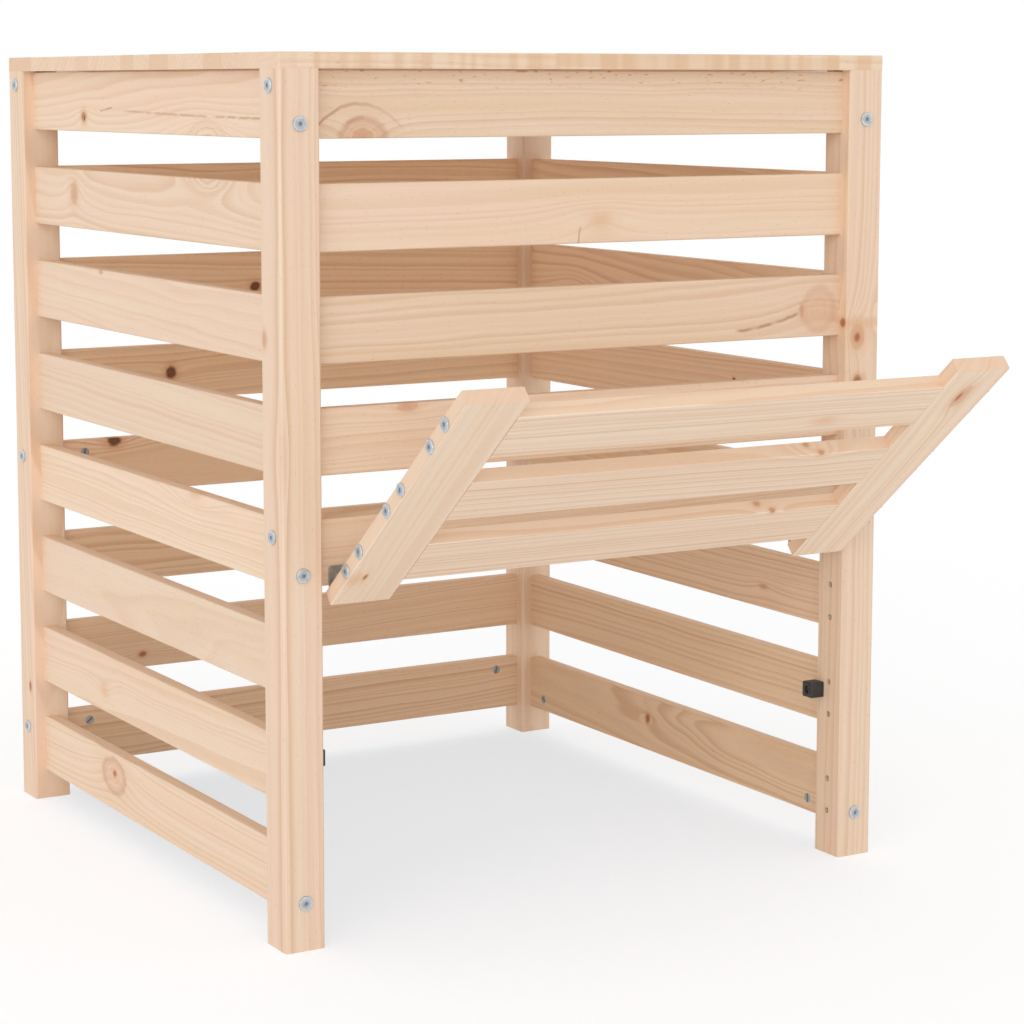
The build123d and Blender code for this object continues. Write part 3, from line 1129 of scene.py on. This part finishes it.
@dataclass
class Fasteners:
    """A set of like fasteners with turned heads, in millimetres.

    dish is how far the face is hollowed. lip holds the depths between which the recess flares.
    """

    node: str
    body: str = "frame"
    facing: Facing = Facing.OUT
    drive: Drive = Drive.HEXAGON
    drive_size: float = 1.6
    drive_depth: float = 0.8
    head_height: float = 2.0
    shank_radius: float = 3.0
    dish: float = 0.1
    lip: Pair = (0.35, 0.16)
    # Painted shade with a little soiling: darkest in the recess, fading over the lip and the dish.
    grime_and_shade: tuple[float, ...] = (1.0, 1.0, 0.5, 0.3)
    finish: SteelFinish = ZINC

    def rings(self, radius: float, length: float) -> list[np.ndarray]:
        """Rings of one fastener: its recess, a dished face, a rolled rim, then its shank and tip.

        Args:
            radius: Radius of the head.
            length: Length over all.

        Returns:
            The rings, from the floor of the recess to the tip.
        """
        drive = self.drive.radii(self.drive_size)
        rim = min(self.head_height * 0.45, radius * 0.14)
        recess = [
            ring(drive * 0.94, -self.drive_depth),
            ring(drive, -self.lip[0]),
            ring(drive * 1.1, -self.lip[1]),
        ]
        head = [
            (radius * 0.72, -self.dish),
            (radius * 0.8, 0.0),
            (radius - rim, 0.0),
            (radius - rim * 0.35, -rim * 0.25),
            (radius, -rim),
            (radius, -self.head_height + rim * 0.3),
            (radius - rim * 0.2, -self.head_height),
        ]
        shank = [
            (self.shank_radius, -self.head_height),
            (self.shank_radius, self.shank_radius * 0.5 - length),
            (self.shank_radius * 0.6, -length),
        ]
        return recess + circles(head + (shank if length > self.head_height else []))

    def build(self) -> None:
        """Turn one fastener for each solid of the node."""
        draw = np.random.default_rng([SEED, len(self.node)])
        skins = []
        for solid in node_solids(self.node):
            seat = Seat.found(solid, self.facing, draw.uniform(0, math.tau))
            turned = Skin.lathe(self.rings(seat.radius, seat.length), self.grime_and_shade)
            skins.append(turned.placed(seat.top, seat.axes))
        material = self.finish.material()
        Skin.joined(skins).build(f"turned_{self.node}", self.body, "zinc_steel", material, self.node)


@dataclass
class FrameBolts(Fasteners):
    """The bolts that draw the posts and slats together, with flat round heads."""

    node: str = "frame_bolts"


@dataclass
class FlapScrews(Fasteners):
    """The screws through the stiles into the flap's slats."""

    node: str = "flap_screws"
    body: str = "flap"
    drive_size: float = 1.7
    drive_depth: float = 0.9
    head_height: float = 1.8


@dataclass
class StopScrews(Fasteners):
    """The screws sunk in the flap's stops, with painted shade dark in their recesses and over their dished
    faces.
    """

    node: str = "stop_screws"
    facing: Facing = Facing.IN
    drive: Drive = Drive.CROSS
    drive_size: float = 1.9
    drive_depth: float = 1.3
    shank_radius: float = 1.5
    # Painted shade: the recess and most of the face are darkened, for the shade deep in the stops.
    grime_and_shade: tuple[float, ...] = (1.0, 1.0, 0.9, 0.9, 0.8)
    finish: SteelFinish = STOP_ZINC_IN_SHADE


@dataclass
class BarrelNuts(Fasteners):
    """The bolts' nuts: plain barrels let into the slats, with a slot across their face and eased edges."""

    node: str = "barrel_nuts"
    facing: Facing = Facing.IN
    drive: Drive = Drive.SLOT
    drive_size: float = 3.9
    drive_depth: float = 1.4
    easing: float = 0.6
    finish: SteelFinish = NUT_ZINC

    def rings(self, radius: float, length: float) -> list[np.ndarray]:
        """Rings of one nut: the slot, the flat face, the eased edge, the barrel and the far edge.

        Args:
            radius: Radius of the barrel.
            length: Its length.

        Returns:
            The rings, from the floor of the slot to the far face.
        """
        slot = self.drive.radii(self.drive_size)
        barrel = [
            (radius * 0.9, 0.0),
            (radius - self.easing * 0.3, -self.easing * 0.25),
            (radius, -self.easing),
            (radius, self.easing - length),
            (radius - self.easing, -length),
        ]
        face = [ring(slot, -self.drive_depth), ring(slot, -0.1), ring(slot * 1.04, 0.0)]
        return face + circles(barrel)


@dataclass
class Stops:
    """The flap's moulded stop blocks, each with a recess for its screw, in millimetres."""

    easing: float = 1.2
    recess_radius: float = 3.75
    recess_depth: float = 5.0
    lip: float = 0.5
    taper: float = 0.2
    finish: PlasticFinish = PlasticFinish()

    def rings(self, half: float, length: float) -> list[np.ndarray]:
        """Rings of one block: the recess, its lip, the square face, the round edges, sides and back.

        Args:
            half: Half the side of the block.
            length: How far it stands out.

        Returns:
            The rings, from the floor of the recess to the back.
        """
        recess = [
            (self.recess_radius - self.taper, -self.recess_depth),
            (self.recess_radius, -self.lip),
            (self.recess_radius + self.lip, 0.0),
        ]
        edge = [
            plate_ring(
                (half - self.easing * (1 - math.cos(angle)),) * 2,
                self.easing * (0.4 + 0.6 * math.cos(angle)),
                self.easing * (math.sin(angle) - 1),
            )
            for angle in np.radians([90, 60, 30, 0])
        ]
        return circles(recess) + edge + [plate_ring((half, half), self.easing, -length)]

    def build(self) -> None:
        """Mould both blocks in place of their nodes."""
        material = self.finish.material()
        for hand in HANDS:
            node = f"flap_stop_{hand}"
            points, _ = node_points(node)
            spans, middle = np.ptp(points, axis=0), middle_of(points)
            inward = -np.sign(middle[0])
            axes = np.array([(0, inward, 0), UP, (inward, 0, 0)])
            top = middle + axes[2] * spans[0] / 2
            skin = Skin.lathe(self.rings(spans[1] / 2, spans[0])).placed(top, axes)
            skin.build(f"moulded_{node}", "frame", "black_plastic", material, node)


@dataclass(frozen=True)
class Leaf:
    """One leaf of a hinge: its node and body, which way it reaches from the pin and where its wood is."""

    node: str
    body: str
    reach: Vec3
    wood: Vec3
    first_knuckle: int

    @classmethod
    def both(cls, name: str, *rest: Any) -> tuple["Leaf", ...]:
        """The left leaf of that name and the right one."""
        return tuple(cls(f"{name}_{hand}", *rest) for hand in HANDS)


@dataclass
class Hinges:
    """Butt hinges of sheet steel rolled round a pin, in millimetres.

    Screws are placed by shares of a leaf: along the pin, from its middle, and out from the pin.
    pin_dome is the profile of a pin's end: shares of its radius, and heights.
    """

    joint: str
    pins: str
    leaves: tuple[Leaf, ...]
    screw_shares: tuple[Pair, ...]
    screw_radius: float
    knuckles: int = 3
    gap: float = 0.3
    corner: float = 2.5
    easing: float = 0.3
    pin_dome: tuple[Pair, ...] = ((0.35, 0.0), (0.8, -0.15), (1.0, -0.45))
    # Painted shade with a little soiling: the screws' cross recesses are darkened.
    screw_grime_and_shade: tuple[float, ...] = (0.9, 0.8, 0.2)
    finish: SteelFinish = HINGE_STEEL

    def roll(self, radius: float, thickness: float, start: float) -> np.ndarray:
        """Outline of a knuckle: the sheet comes in flat, and rolls round the pin until it nears itself.

        The outside is a line and then an arc of the knuckle's radius. The inside is the same path set in
        by the thickness.

        Args:
            radius: Outer radius of the roll.
            thickness: Thickness of the sheet.
            start: Where the flat plate starts, from the pin.

        Returns:
            Points along the leaf and towards the wood, counter-clockwise.
        """
        end = math.asin((radius - thickness - self.gap) / radius) + math.tau
        arc = np.linspace(math.pi / 2, end, SIDES // 2)
        turn = np.column_stack([np.cos(arc), np.sin(arc)])
        inner = radius - thickness
        return np.concatenate([[(start, radius)], turn * radius, turn[::-1] * inner, [(start, inner)]])

    def plate(self, length: float, start: float, reach: float, radius: float, thickness: float) -> Skin:
        """The flat of a leaf: a plate with round corners and eased outer edges.

        Args:
            length: Length along the pin.
            start: Where it starts, from the pin.
            reach: Where it ends.
            radius: Distance from the pin to the wood.
            thickness: Thickness of the sheet.

        Returns:
            The plate.
        """
        half = (length / 2, (reach - start) / 2)
        outer = radius - thickness
        rings = [
            plate_ring(half, self.corner, radius),
            plate_ring(half, self.corner, outer + self.easing),
            plate_ring(tuple(side - self.easing for side in half), self.corner, outer),
        ]
        return Skin.lathe(rings).placed(np.array([0, (start + reach) / 2, 0]), np.eye(3))

    def screw(self) -> Skin:
        """One countersunk screw: a cross recess, a low dome and a cone that sinks into the plate.

        Returns:
            The screw, with its head's edge at height 0.
        """
        size = self.screw_radius
        cross = Drive.CROSS.radii(size * 0.55)
        dome = [(size * 0.72, 0.32), (size * 0.9, 0.2), (size, 0.0), (size * 0.55, -size * 0.45)]
        recess = [ring(cross * 0.7, -0.5), ring(cross, 0.3), ring(cross * 1.06, 0.36)]
        return Skin.lathe(recess + circles(dome), self.screw_grime_and_shade)

    def build_leaf(self, leaf: Leaf, steel: bpy.types.Material) -> None:
        """Make one leaf with its rolled knuckles, and its screws.

        Args:
            leaf: The leaf.
            steel: Material of the sheet and the screws.
        """
        points, _ = node_points(leaf.node)
        pin = np.array([middle_of(points)[0], *(np.array(JOINTS[self.joint]["pos_m"][1:]) / MM)])
        reach, wood = np.array(leaf.reach), np.array(leaf.wood)
        axes = np.stack([np.cross(reach, wood), reach, wood])
        local = (points - pin) @ axes.T
        length, far, radius = np.ptp(local[:, 0]), local[:, 1].max(), local[:, 2].max()
        thickness = radius - local[local[:, 1] > far * 0.9, 2].min()
        start = radius + self.gap
        step = length / self.knuckles
        outline = self.roll(radius, thickness, start)
        starts = np.arange(leaf.first_knuckle, self.knuckles, 2) * step - length / 2
        half_gap = self.gap / 2
        rolls = [Skin.prism(outline, at + half_gap, at + step - half_gap) for at in starts]
        sheet = Skin.joined([self.plate(length, start, far, radius, thickness), *rolls])
        sheet.placed(pin, axes).build(f"rolled_{leaf.node}", leaf.body, "hinge_steel", steel, leaf.node)
        heads = []
        face = np.stack([-axes[0], axes[1], -axes[2]])
        for along, out in self.screw_shares:
            spot = np.array([along * length, start + out * (far - start), radius - thickness])
            heads.append(self.screw().placed(pin + spot @ axes, face))
        Skin.joined(heads).build(f"screws_{leaf.node}", leaf.body, "hinge_steel", steel)

    def build(self) -> None:
        """Make every leaf, and the pins with domed ends."""
        steel = self.finish.material()
        for leaf in self.leaves:
            self.build_leaf(leaf, steel)
        pins = []
        for solid in node_solids(self.pins):
            seat = Seat.found(solid, Facing.OUT)
            near = [(seat.radius * share, height) for share, height in self.pin_dome]
            far = [(radius, -seat.length - height) for radius, height in near[::-1]]
            pins.append(Skin.lathe(circles(near + far)).placed(seat.top, seat.axes))
        Skin.joined(pins).build(f"turned_{self.pins}", "frame", "hinge_steel", steel, self.pins)


def flap_down() -> Vec3:
    """Which way the flap lies from its pin at rest, from how far it is from shut."""
    turn = math.radians(-JOINTS["flap_hinge"]["range_deg"][0])
    return (0.0, -math.sin(turn), -math.cos(turn))


FLAP_DOWN = flap_down()
FLAP_INWARD: Vec3 = tuple(Vector(RIGHT).cross(Vector(FLAP_DOWN)))


@dataclass
class FlapHinges(Hinges):
    """The flap's two hinges, between the lowest front slat and the flap's stiles."""

    joint: str = "flap_hinge"
    pins: str = "flap_hinge_pins"
    leaves: tuple[Leaf, ...] = (
        *Leaf.both("flap_hinge_slat_leaf", "frame", UP, BACK, 0),
        *Leaf.both("flap_hinge_stile_leaf", "flap", FLAP_DOWN, FLAP_INWARD, 1),
    )
    screw_shares: tuple[Pair, ...] = ((-0.32, 0.4), (0.0, 0.68), (0.32, 0.4))
    screw_radius: float = 2.7


@dataclass
class LidHinges(Hinges):
    """The lid's two hinges, on the rear posts."""

    joint: str = "lid_hinge"
    pins: str = "lid_hinge_pins"
    leaves: tuple[Leaf, ...] = (
        *Leaf.both("lid_hinge_post_leaf", "frame", DOWN, FRONT, 0),
        *Leaf.both("lid_hinge_lid_leaf", "lid", UP, FRONT, 1),
    )
    screw_shares: tuple[Pair, ...] = ((-0.3, 0.5), (0.3, 0.5))
    screw_radius: float = 2.1


def numbered(name: str, count: int) -> tuple[str, ...]:
    """Names of like boards, counted from 1."""
    return tuple(f"{name}_{number}" for number in range(1, count + 1))


@dataclass
class Boards:
    """Boards that lie the same way. A field named for a board holds what is known of its cut."""

    nodes: tuple[str, ...]
    along: Vec3
    across: Vec3
    finish: PineFinish = PINE

    def build(self) -> None:
        """Dress every board with its own cut."""
        for node in self.nodes:
            cut = getattr(self, node, Cut()).drawn(node)
            self.finish.dress(Board(node, self.along, self.across, cut))


@dataclass
class Posts(Boards):
    """The four posts, with the grain upright."""

    nodes: tuple[str, ...] = ("front_left_post", "front_right_post", "rear_left_post", "rear_right_post")
    along: Vec3 = UP
    across: Vec3 = RIGHT
    finish: PineFinish = POST_PINE
    front_left_post: Cut = Cut(
        (70, 40), ring=6.5, contrast=0.52, wander=3.0, blush=0.85, shade=-0.03,
        knots=(
            Knot.sideways((151, 13), (7, 4), KnotKind.ROSY, sway=3),
            Knot.swirl((55, -15.5), sway=5, reach=(45, 6)),
        ),
    )
    front_right_post: Cut = Cut(
        (-50, 30), ring=6.0, contrast=0.45, shade=-0.05,
        knots=(
            Knot.through((128, -6), (11, 8), KnotKind.ROSY, sway=12, reach=(34, 14)),
            Knot.through((128, -6), (4.5, 3.6), KnotKind.RED, sway=4, reach=(20, 9)),
            Knot.through((86, -5), (5, 4.5), KnotKind.RED, sway=9, reach=(28, 10)),
            Knot.swirl((150, 14), sway=8, reach=(26, 7)),
            Knot.sideways((142, -13), (4, 4), KnotKind.RED, sway=4),
        ),
    )
    rear_left_post: Cut = Cut(knots=(Knot.sideways((-261, -8), (5, 3), KnotKind.RED, sway=5),))


@dataclass
class LeftWall(Boards):
    """The left wall's slats."""

    nodes: tuple[str, ...] = numbered("left_slat", 8)
    along: Vec3 = BACK
    across: Vec3 = UP
    left_slat_1: Cut = Cut(
        (45, 45), ring=5.5, contrast=0.38, blush=0.75, shade=0.0,
        knots=(
            Knot.through((143.5, -14.7), (6, 5), KnotKind.RED, sway=7, reach=(26, 13)),
            Knot.through((142.5, -15.5), (1.6, 3), KnotKind.DARK, sway=0, reach=(10, 8)),
            Knot.swirl((-146, -34), sway=34, reach=(58, 20)),
            Knot.through((-146, -36), (40, 20), KnotKind.ARCED, sway=0, reach=(40, 20)),
        ),
        cracks=(
            Crack((60, -7.5), (-300, -12), half=1.2, bow=1.5, share=0.34, wobble=1.2, fade=-0.5),
            Crack((103, -9), (70, -5), half=0.9, bow=0.0, share=0.6, wobble=1.0),
        ),
    )
    left_slat_2: Cut = Cut(
        (30, -45), ring=5.0, contrast=0.46, blush=0.8,
        knots=(
            Knot.through((173, 6), (9, 10), KnotKind.ROSY, sway=10, reach=(26, 24)),
            Knot.swirl((-146, 34), sway=36, reach=(62, 19)),
            Knot.through((-146, 35), (42, 20), KnotKind.ARCED, sway=0, reach=(40, 20)),
        ),
    )
    left_slat_3: Cut = Cut(
        contrast=0.26, blush=0.9, ring=7.5, shade=-0.03,
        knots=(
            Knot.through((107, 27), (4, 2), KnotKind.ROSY, sway=3, reach=(30, 8)),
            Knot.swirl((-77, 15), sway=8, reach=(55, 15)),
        ),
    )
    left_slat_4: Cut = Cut((95, 30), ring=7.0, contrast=0.34, wander=5.0, blush=0.8, shade=-0.05)
    left_slat_5: Cut = Cut(
        (-85, 30), ring=6.5, contrast=0.42, wander=6.0, blush=0.35,
        knots=(Knot.through((-109, 28), (12, 5), KnotKind.PALE, sway=20, reach=(58, 21)),),
    )
    left_slat_6: Cut = Cut(
        contrast=0.2, blush=0.6, ring=8.0, shade=-0.04,
        knots=(Knot.swirl((-97, -14), sway=6, reach=(60, 14)),),
    )
    left_slat_7: Cut = Cut(
        contrast=0.36, blush=0.6,
        knots=(Knot.through((115, -8), (9, 6), KnotKind.PALE, sway=9, reach=(34, 16)),),
    )
    left_slat_8: Cut = Cut(
        (75, -35), ring=6.5, contrast=0.42, blush=0.6,
        knots=(
            Knot.through((94, 6), (28, 17), KnotKind.RINGED, sway=20, reach=(60, 24)),
            Knot.through((92, 9), (4, 3), KnotKind.RED, sway=0, reach=(20, 10)),
        ),
    )


@dataclass
class RightWall(Boards):
    """The right wall's slats."""

    nodes: tuple[str, ...] = numbered("right_slat", 8)
    along: Vec3 = BACK
    across: Vec3 = UP
    finish: PineFinish = WARM_PINE_LIGHTENED
    # Painted light and shade: the upper slats are lightened and the lower ones darkened, to set the light
    # inside the bin.
    right_slat_2: Cut = Cut(shade=0.06)
    right_slat_3: Cut = Cut(
        (60, -45), drift_across=0.05, ring=7.0, contrast=0.38, wander=6.0, shade=0.06,
        knots=(Knot.swirl((190, -10), sway=16, reach=(60, 25)),),
    )
    right_slat_4: Cut = Cut(
        (-85, 30), ring=6.5, contrast=0.34, wander=4.0,
        knots=(Knot.through((-118, 6), (2.5, 2), KnotKind.DARK, sway=3, reach=(16, 7)),),
    )
    right_slat_6: Cut = Cut(
        (90, 30), ring=4.8, contrast=0.38, wander=4.0, shade=-0.07,
        knots=(Knot.through((-173, -7), (6, 2.6), KnotKind.ROSY, sway=6, reach=(26, 12)),),
    )
    right_slat_7: Cut = Cut((-80, 35), ring=6.0, contrast=0.42, wander=4.0, shade=-0.1)
    right_slat_8: Cut = Cut(
        (20, 45), drift_depth=0.06, contrast=0.42, shade=-0.12,
        knots=(Knot.through((35, 6), (4, 5), KnotKind.RED, sway=6, reach=(22, 10)),),
    )


@dataclass
class RearWall(Boards):
    """The rear wall's slats."""

    nodes: tuple[str, ...] = numbered("rear_slat", 8)
    along: Vec3 = RIGHT
    across: Vec3 = UP
    finish: PineFinish = WARM_PINE_LIGHTENED
    # Painted light and shade: the upper slats are lightened and the lower ones darkened, to set the light
    # inside the bin.
    rear_slat_2: Cut = Cut((60, 30), ring=7.5, contrast=0.5, wander=7.0, shade=0.06)
    rear_slat_3: Cut = Cut(
        (75, 25), drift_across=-0.04, ring=7.0, shade=0.02,
        knots=(Knot.through((-52, -8), (6, 5.5), KnotKind.DARK, sway=6, reach=(28, 12)),),
    )
    rear_slat_4: Cut = Cut(
        (-80, 30), ring=6.5,
        knots=(Knot.through((-152, -0.6), (6, 7), KnotKind.DARK, sway=7, reach=(28, 13)),),
    )
    rear_slat_5: Cut = Cut(
        contrast=0.5, knots=(Knot.through((-218, 26), (8, 6), KnotKind.DARK, sway=8, reach=(34, 12)),)
    )
    rear_slat_7: Cut = Cut(
        (85, 30), ring=5.0, shade=-0.08,
        knots=(Knot.through((-189.5, -15), (4, 3), KnotKind.RED, sway=4, reach=(20, 9)),),
    )
    rear_slat_8: Cut = Cut(shade=-0.1)


@dataclass
class FrontWall(Boards):
    """The front wall's slats, above the flap."""

    nodes: tuple[str, ...] = numbered("front_slat", 5)
    along: Vec3 = RIGHT
    across: Vec3 = UP
    front_slat_1: Cut = Cut(
        (-90, 40), ring=6.0, contrast=0.42, blush=0.3, shade=-0.07, resin=0.6,
        knots=(
            Knot.through((-232, -30), (22, 18), KnotKind.RINGED, sway=18, reach=(36, 24)),
            Knot.through((-233, -28), (9, 7), KnotKind.ROSY, sway=0, reach=(10, 10)),
        ),
        cracks=(
            Crack((-284, -27), (-190, -24), half=1.7, bow=26.0, share=0.62, wobble=2.0, fade=0.75),
            Crack((-249, -17), (-230, -11), half=1.8, bow=1.5, share=0.4, wobble=1.0, fade=0.5),
        ),
    )
    front_slat_2: Cut = Cut(
        (100, 25), ring=8.0, contrast=0.28, wander=4.0, blush=0.5, shade=-0.03,
        knots=(Knot.through((9, -8), (12, 6.5), KnotKind.PALE, sway=16, reach=(50, 20)),),
        cracks=(Crack((-13, -13), (-15, -33), half=0.9, bow=0.0, share=0.5, wobble=1.5),),
    )
    front_slat_3: Cut = Cut(
        (70, -40), ring=6.0, contrast=0.5, wander=6.0, blush=0.4, shade=-0.07,
        knots=(
            Knot.through((255, -3), (19, 21), KnotKind.PLAIN, sway=14, reach=(46, 28)),
            Knot.through((235, -4), (2.2, 6), KnotKind.ROSY, sway=0, reach=(10, 10)),
        ),
        cracks=(Crack((157, -20), (235, -5), half=1.7, bow=-3.0, share=0.62, wobble=1.5),),
    )
    front_slat_4: Cut = Cut(
        (-95, 25), ring=6.0, contrast=0.4, blush=0.6, shade=-0.03,
        knots=(Knot.through((-190, 28), (9, 6), KnotKind.ROSY, sway=7, reach=(34, 14)),),
    )
    front_slat_5: Cut = Cut((105, 20), ring=6.0, contrast=0.4, wander=3.0, shade=-0.03)


@dataclass
class FlapSlats(Boards):
    """The flap's slats, between its stiles."""

    nodes: tuple[str, ...] = numbered("flap_slat", 3)
    along: Vec3 = RIGHT
    across: Vec3 = FLAP_DOWN
    finish: PineFinish = FLAP_PINE_LIGHTENED
    # Painted light: the flap's slats are lightened, as little light reaches their faces.
    flap_slat_1: Cut = Cut(
        (90, 20), ring=6.5, contrast=0.42, wander=3.5, blush=0.4, shade=0.07,
        knots=(
            Knot((128, 30, -3), (4, 5, 3), KnotKind.RED, sway=4, reach=(18, 9, 9)),
            Knot((142, 30, 5), (3.5, 4, 2.5), KnotKind.RED, sway=4, reach=(18, 9, 9)),
        ),
    )
    flap_slat_2: Cut = Cut(
        (-95, 25), ring=6.0, contrast=0.44, wander=4.0, blush=0.4, shade=0.07,
        knots=(
            Knot((128, 30, -4), (4, 5, 2.5), KnotKind.RED, sway=6, reach=(26, 11, 9)),
            Knot((141, 30, 5), (4, 4, 2.5), KnotKind.RED, sway=6, reach=(26, 11, 9)),
            Knot.swirl((135, 28), sway=7, reach=(24, 10)),
        ),
    )
    flap_slat_3: Cut = Cut(
        (80, 30), ring=6.5, contrast=0.4, wander=4.0, blush=0.3, shade=0.07,
        knots=(Knot.through((110, -11), (11, 6), KnotKind.PALE, sway=6, reach=(32, 12)),),
    )


@dataclass
class FlapStiles(Boards):
    """The flap's stiles, with the grain down the flap."""

    nodes: tuple[str, ...] = ("flap_stile_left", "flap_stile_right")
    along: Vec3 = FLAP_DOWN
    across: Vec3 = RIGHT
    finish: PineFinish = STILE_PINE_LIGHTENED
    # Painted light: the stiles are lightened, as little light reaches the flap's face.
    flap_stile_left: Cut = Cut(
        (60, -45), ring=7.5, contrast=0.26, blush=0.3, shade=0.08,
        knots=(
            Knot.through((-111, -22), (10, 9), KnotKind.PALE, sway=4, reach=(30, 14)),
            Knot.through((-109, -13), (4, 1.6), KnotKind.RED, sway=3, reach=(22, 9)),
        ),
    )
    flap_stile_right: Cut = Cut(
        (-60, 40), ring=7.0, contrast=0.36, shade=0.08,
        knots=(
            Knot.through((113, 0), (15, 7), KnotKind.ROSY, sway=6, reach=(34, 13)),
            Knot.through((112, -2), (7, 1.8), KnotKind.RED, sway=4, reach=(26, 8)),
        ),
    )


@dataclass
class Lid(Boards):
    """The lid, one glued panel with its staves from side to side."""

    nodes: tuple[str, ...] = ("lid",)
    along: Vec3 = RIGHT
    across: Vec3 = BACK
    finish: PineFinish = PanelFinish()
    lid: Cut = Cut((30, 40), ring=6.0, contrast=0.45, wander=4.0)


@dataclass
class Studio:
    """Pale floor, soft light and the camera at the photographed angle.

    Angles are in degrees, the lens and sensor in millimetres, and places in metres.
    """

    eye: Vec3 = (-1.3164, -2.3725, 0.7473)
    heading: float = 29.995
    pitch: float = 6.997
    lens: float = 95.59
    sensor: float = 36.0
    shift: Pair = (0.0375, -0.0912)
    clip: Pair = (0.05, 60.0)
    sky: float = 0.81
    floor_half: float = 20.0
    floor_tint: Colour = (0.9, 0.9, 0.9)
    floor_seen: Colour = (0.72, 0.52, 0.43)
    floor_light: float = 0.855
    key_from: Vec3 = (-0.69, -0.71, 0.12)
    key_angle: float = 60.0
    key_power: float = 1.15

    def build(self) -> None:
        """Set up the floor, light, world and camera."""
        bpy.context.scene.view_settings.view_transform = "Standard"
        self.camera()
        self.world()
        self.floor()
        self.key()

    def camera(self) -> None:
        """Stand the camera at the eye, turned by the heading and tipped down by the pitch."""
        data = bpy.data.cameras.new("camera")
        data.lens, data.sensor_width = self.lens, self.sensor
        data.shift_x, data.shift_y = self.shift
        data.clip_start, data.clip_end = self.clip
        camera = linked("camera", data)
        camera.location = self.eye
        camera.rotation_euler = (math.radians(90 - self.pitch), 0.0, math.radians(-self.heading))
        bpy.context.scene.camera = camera

    def seen(self, bench: Bench) -> Value:
        """1 for what the camera, a gloss or a glass looks at, and 0 for the light itself.

        Args:
            bench: The bench of the world or the floor.

        Returns:
            The switch.
        """
        rays = bench.node("ShaderNodeLightPath").outputs
        kinds = [Value(bench, rays[f"Is {kind} Ray"]) for kind in ("Camera", "Glossy", "Transmission")]
        return kinds[0].most(kinds[1]).most(kinds[2])

    def world(self) -> None:
        """Light all round, with a white background where something looks at it."""
        bench = Bench(bpy.data.worlds.new("studio"))
        light = bench.node("ShaderNodeBackground", inputs={"Color": (1, 1, 1, 1), "Strength": self.sky})
        white = bench.node("ShaderNodeBackground", inputs={"Color": (1, 1, 1, 1), "Strength": 1.0})
        shares = {0: self.seen(bench), 1: light.outputs[0], 2: white.outputs[0]}
        mix = bench.node("ShaderNodeMixShader", inputs=shares)
        bench.node("ShaderNodeOutputWorld", inputs={"Surface": mix.outputs[0]})
        bpy.context.scene.world = bench.owner

    def floor(self) -> None:
        """Lay a wide pale floor, whose glow makes up what its seen tint in open light lacks of white.

        The seen tint falls off from red to blue and the glow rises to match. So a shadow takes more red
        away than blue, which cancels the warm light that the timber throws, and the shadow looks grey.
        """
        mesh = bpy.data.meshes.new("floor")
        corners = np.array([(-1, -1, 0), (1, -1, 0), (1, 1, 0), (-1, 1, 0)]) * self.floor_half
        mesh.from_pydata(corners.tolist(), [], [(0, 1, 2, 3)])
        floor = linked("floor", mesh)
        bench = Bench(bpy.data.materials.new("floor_white"))
        seen = self.seen(bench)
        tint = bench.mix(seen, self.floor_tint, self.floor_seen)
        matt = bench.node("ShaderNodeBsdfDiffuse", inputs={"Color": tint})
        lack = (*[1 - part * self.floor_light for part in self.floor_seen], 1)
        glow = bench.node("ShaderNodeEmission", inputs={"Color": lack, "Strength": seen})
        both = bench.node("ShaderNodeAddShader", inputs={0: matt.outputs[0], 1: glow.outputs[0]})
        bench.node("ShaderNodeOutputMaterial", inputs={"Surface": both.outputs[0]})
        wear(floor, bench.owner)

    def key(self) -> None:
        """Shine one wide soft lamp from far off, the same all over the floor."""
        data = bpy.data.lights.new("key", "SUN")
        data.energy, data.angle = self.key_power, math.radians(self.key_angle)
        lamp = linked("key", data)
        lamp.rotation_euler = (-Vector(self.key_from)).to_track_quat("-Z", "Y").to_euler()


def main() -> None:
    """Dress the timber, build the hardware and set up the studio."""
    logging.basicConfig(level=logging.INFO)
    timber = (Posts, LeftWall, RightWall, RearWall, FrontWall, FlapSlats, FlapStiles, Lid)
    hardware = (FrameBolts, BarrelNuts, FlapScrews, StopScrews, FlapHinges, LidHinges, Stops)
    for assembly in (*timber, *hardware, Studio):
        assembly().build()


if __name__ == "__main__":
    main()
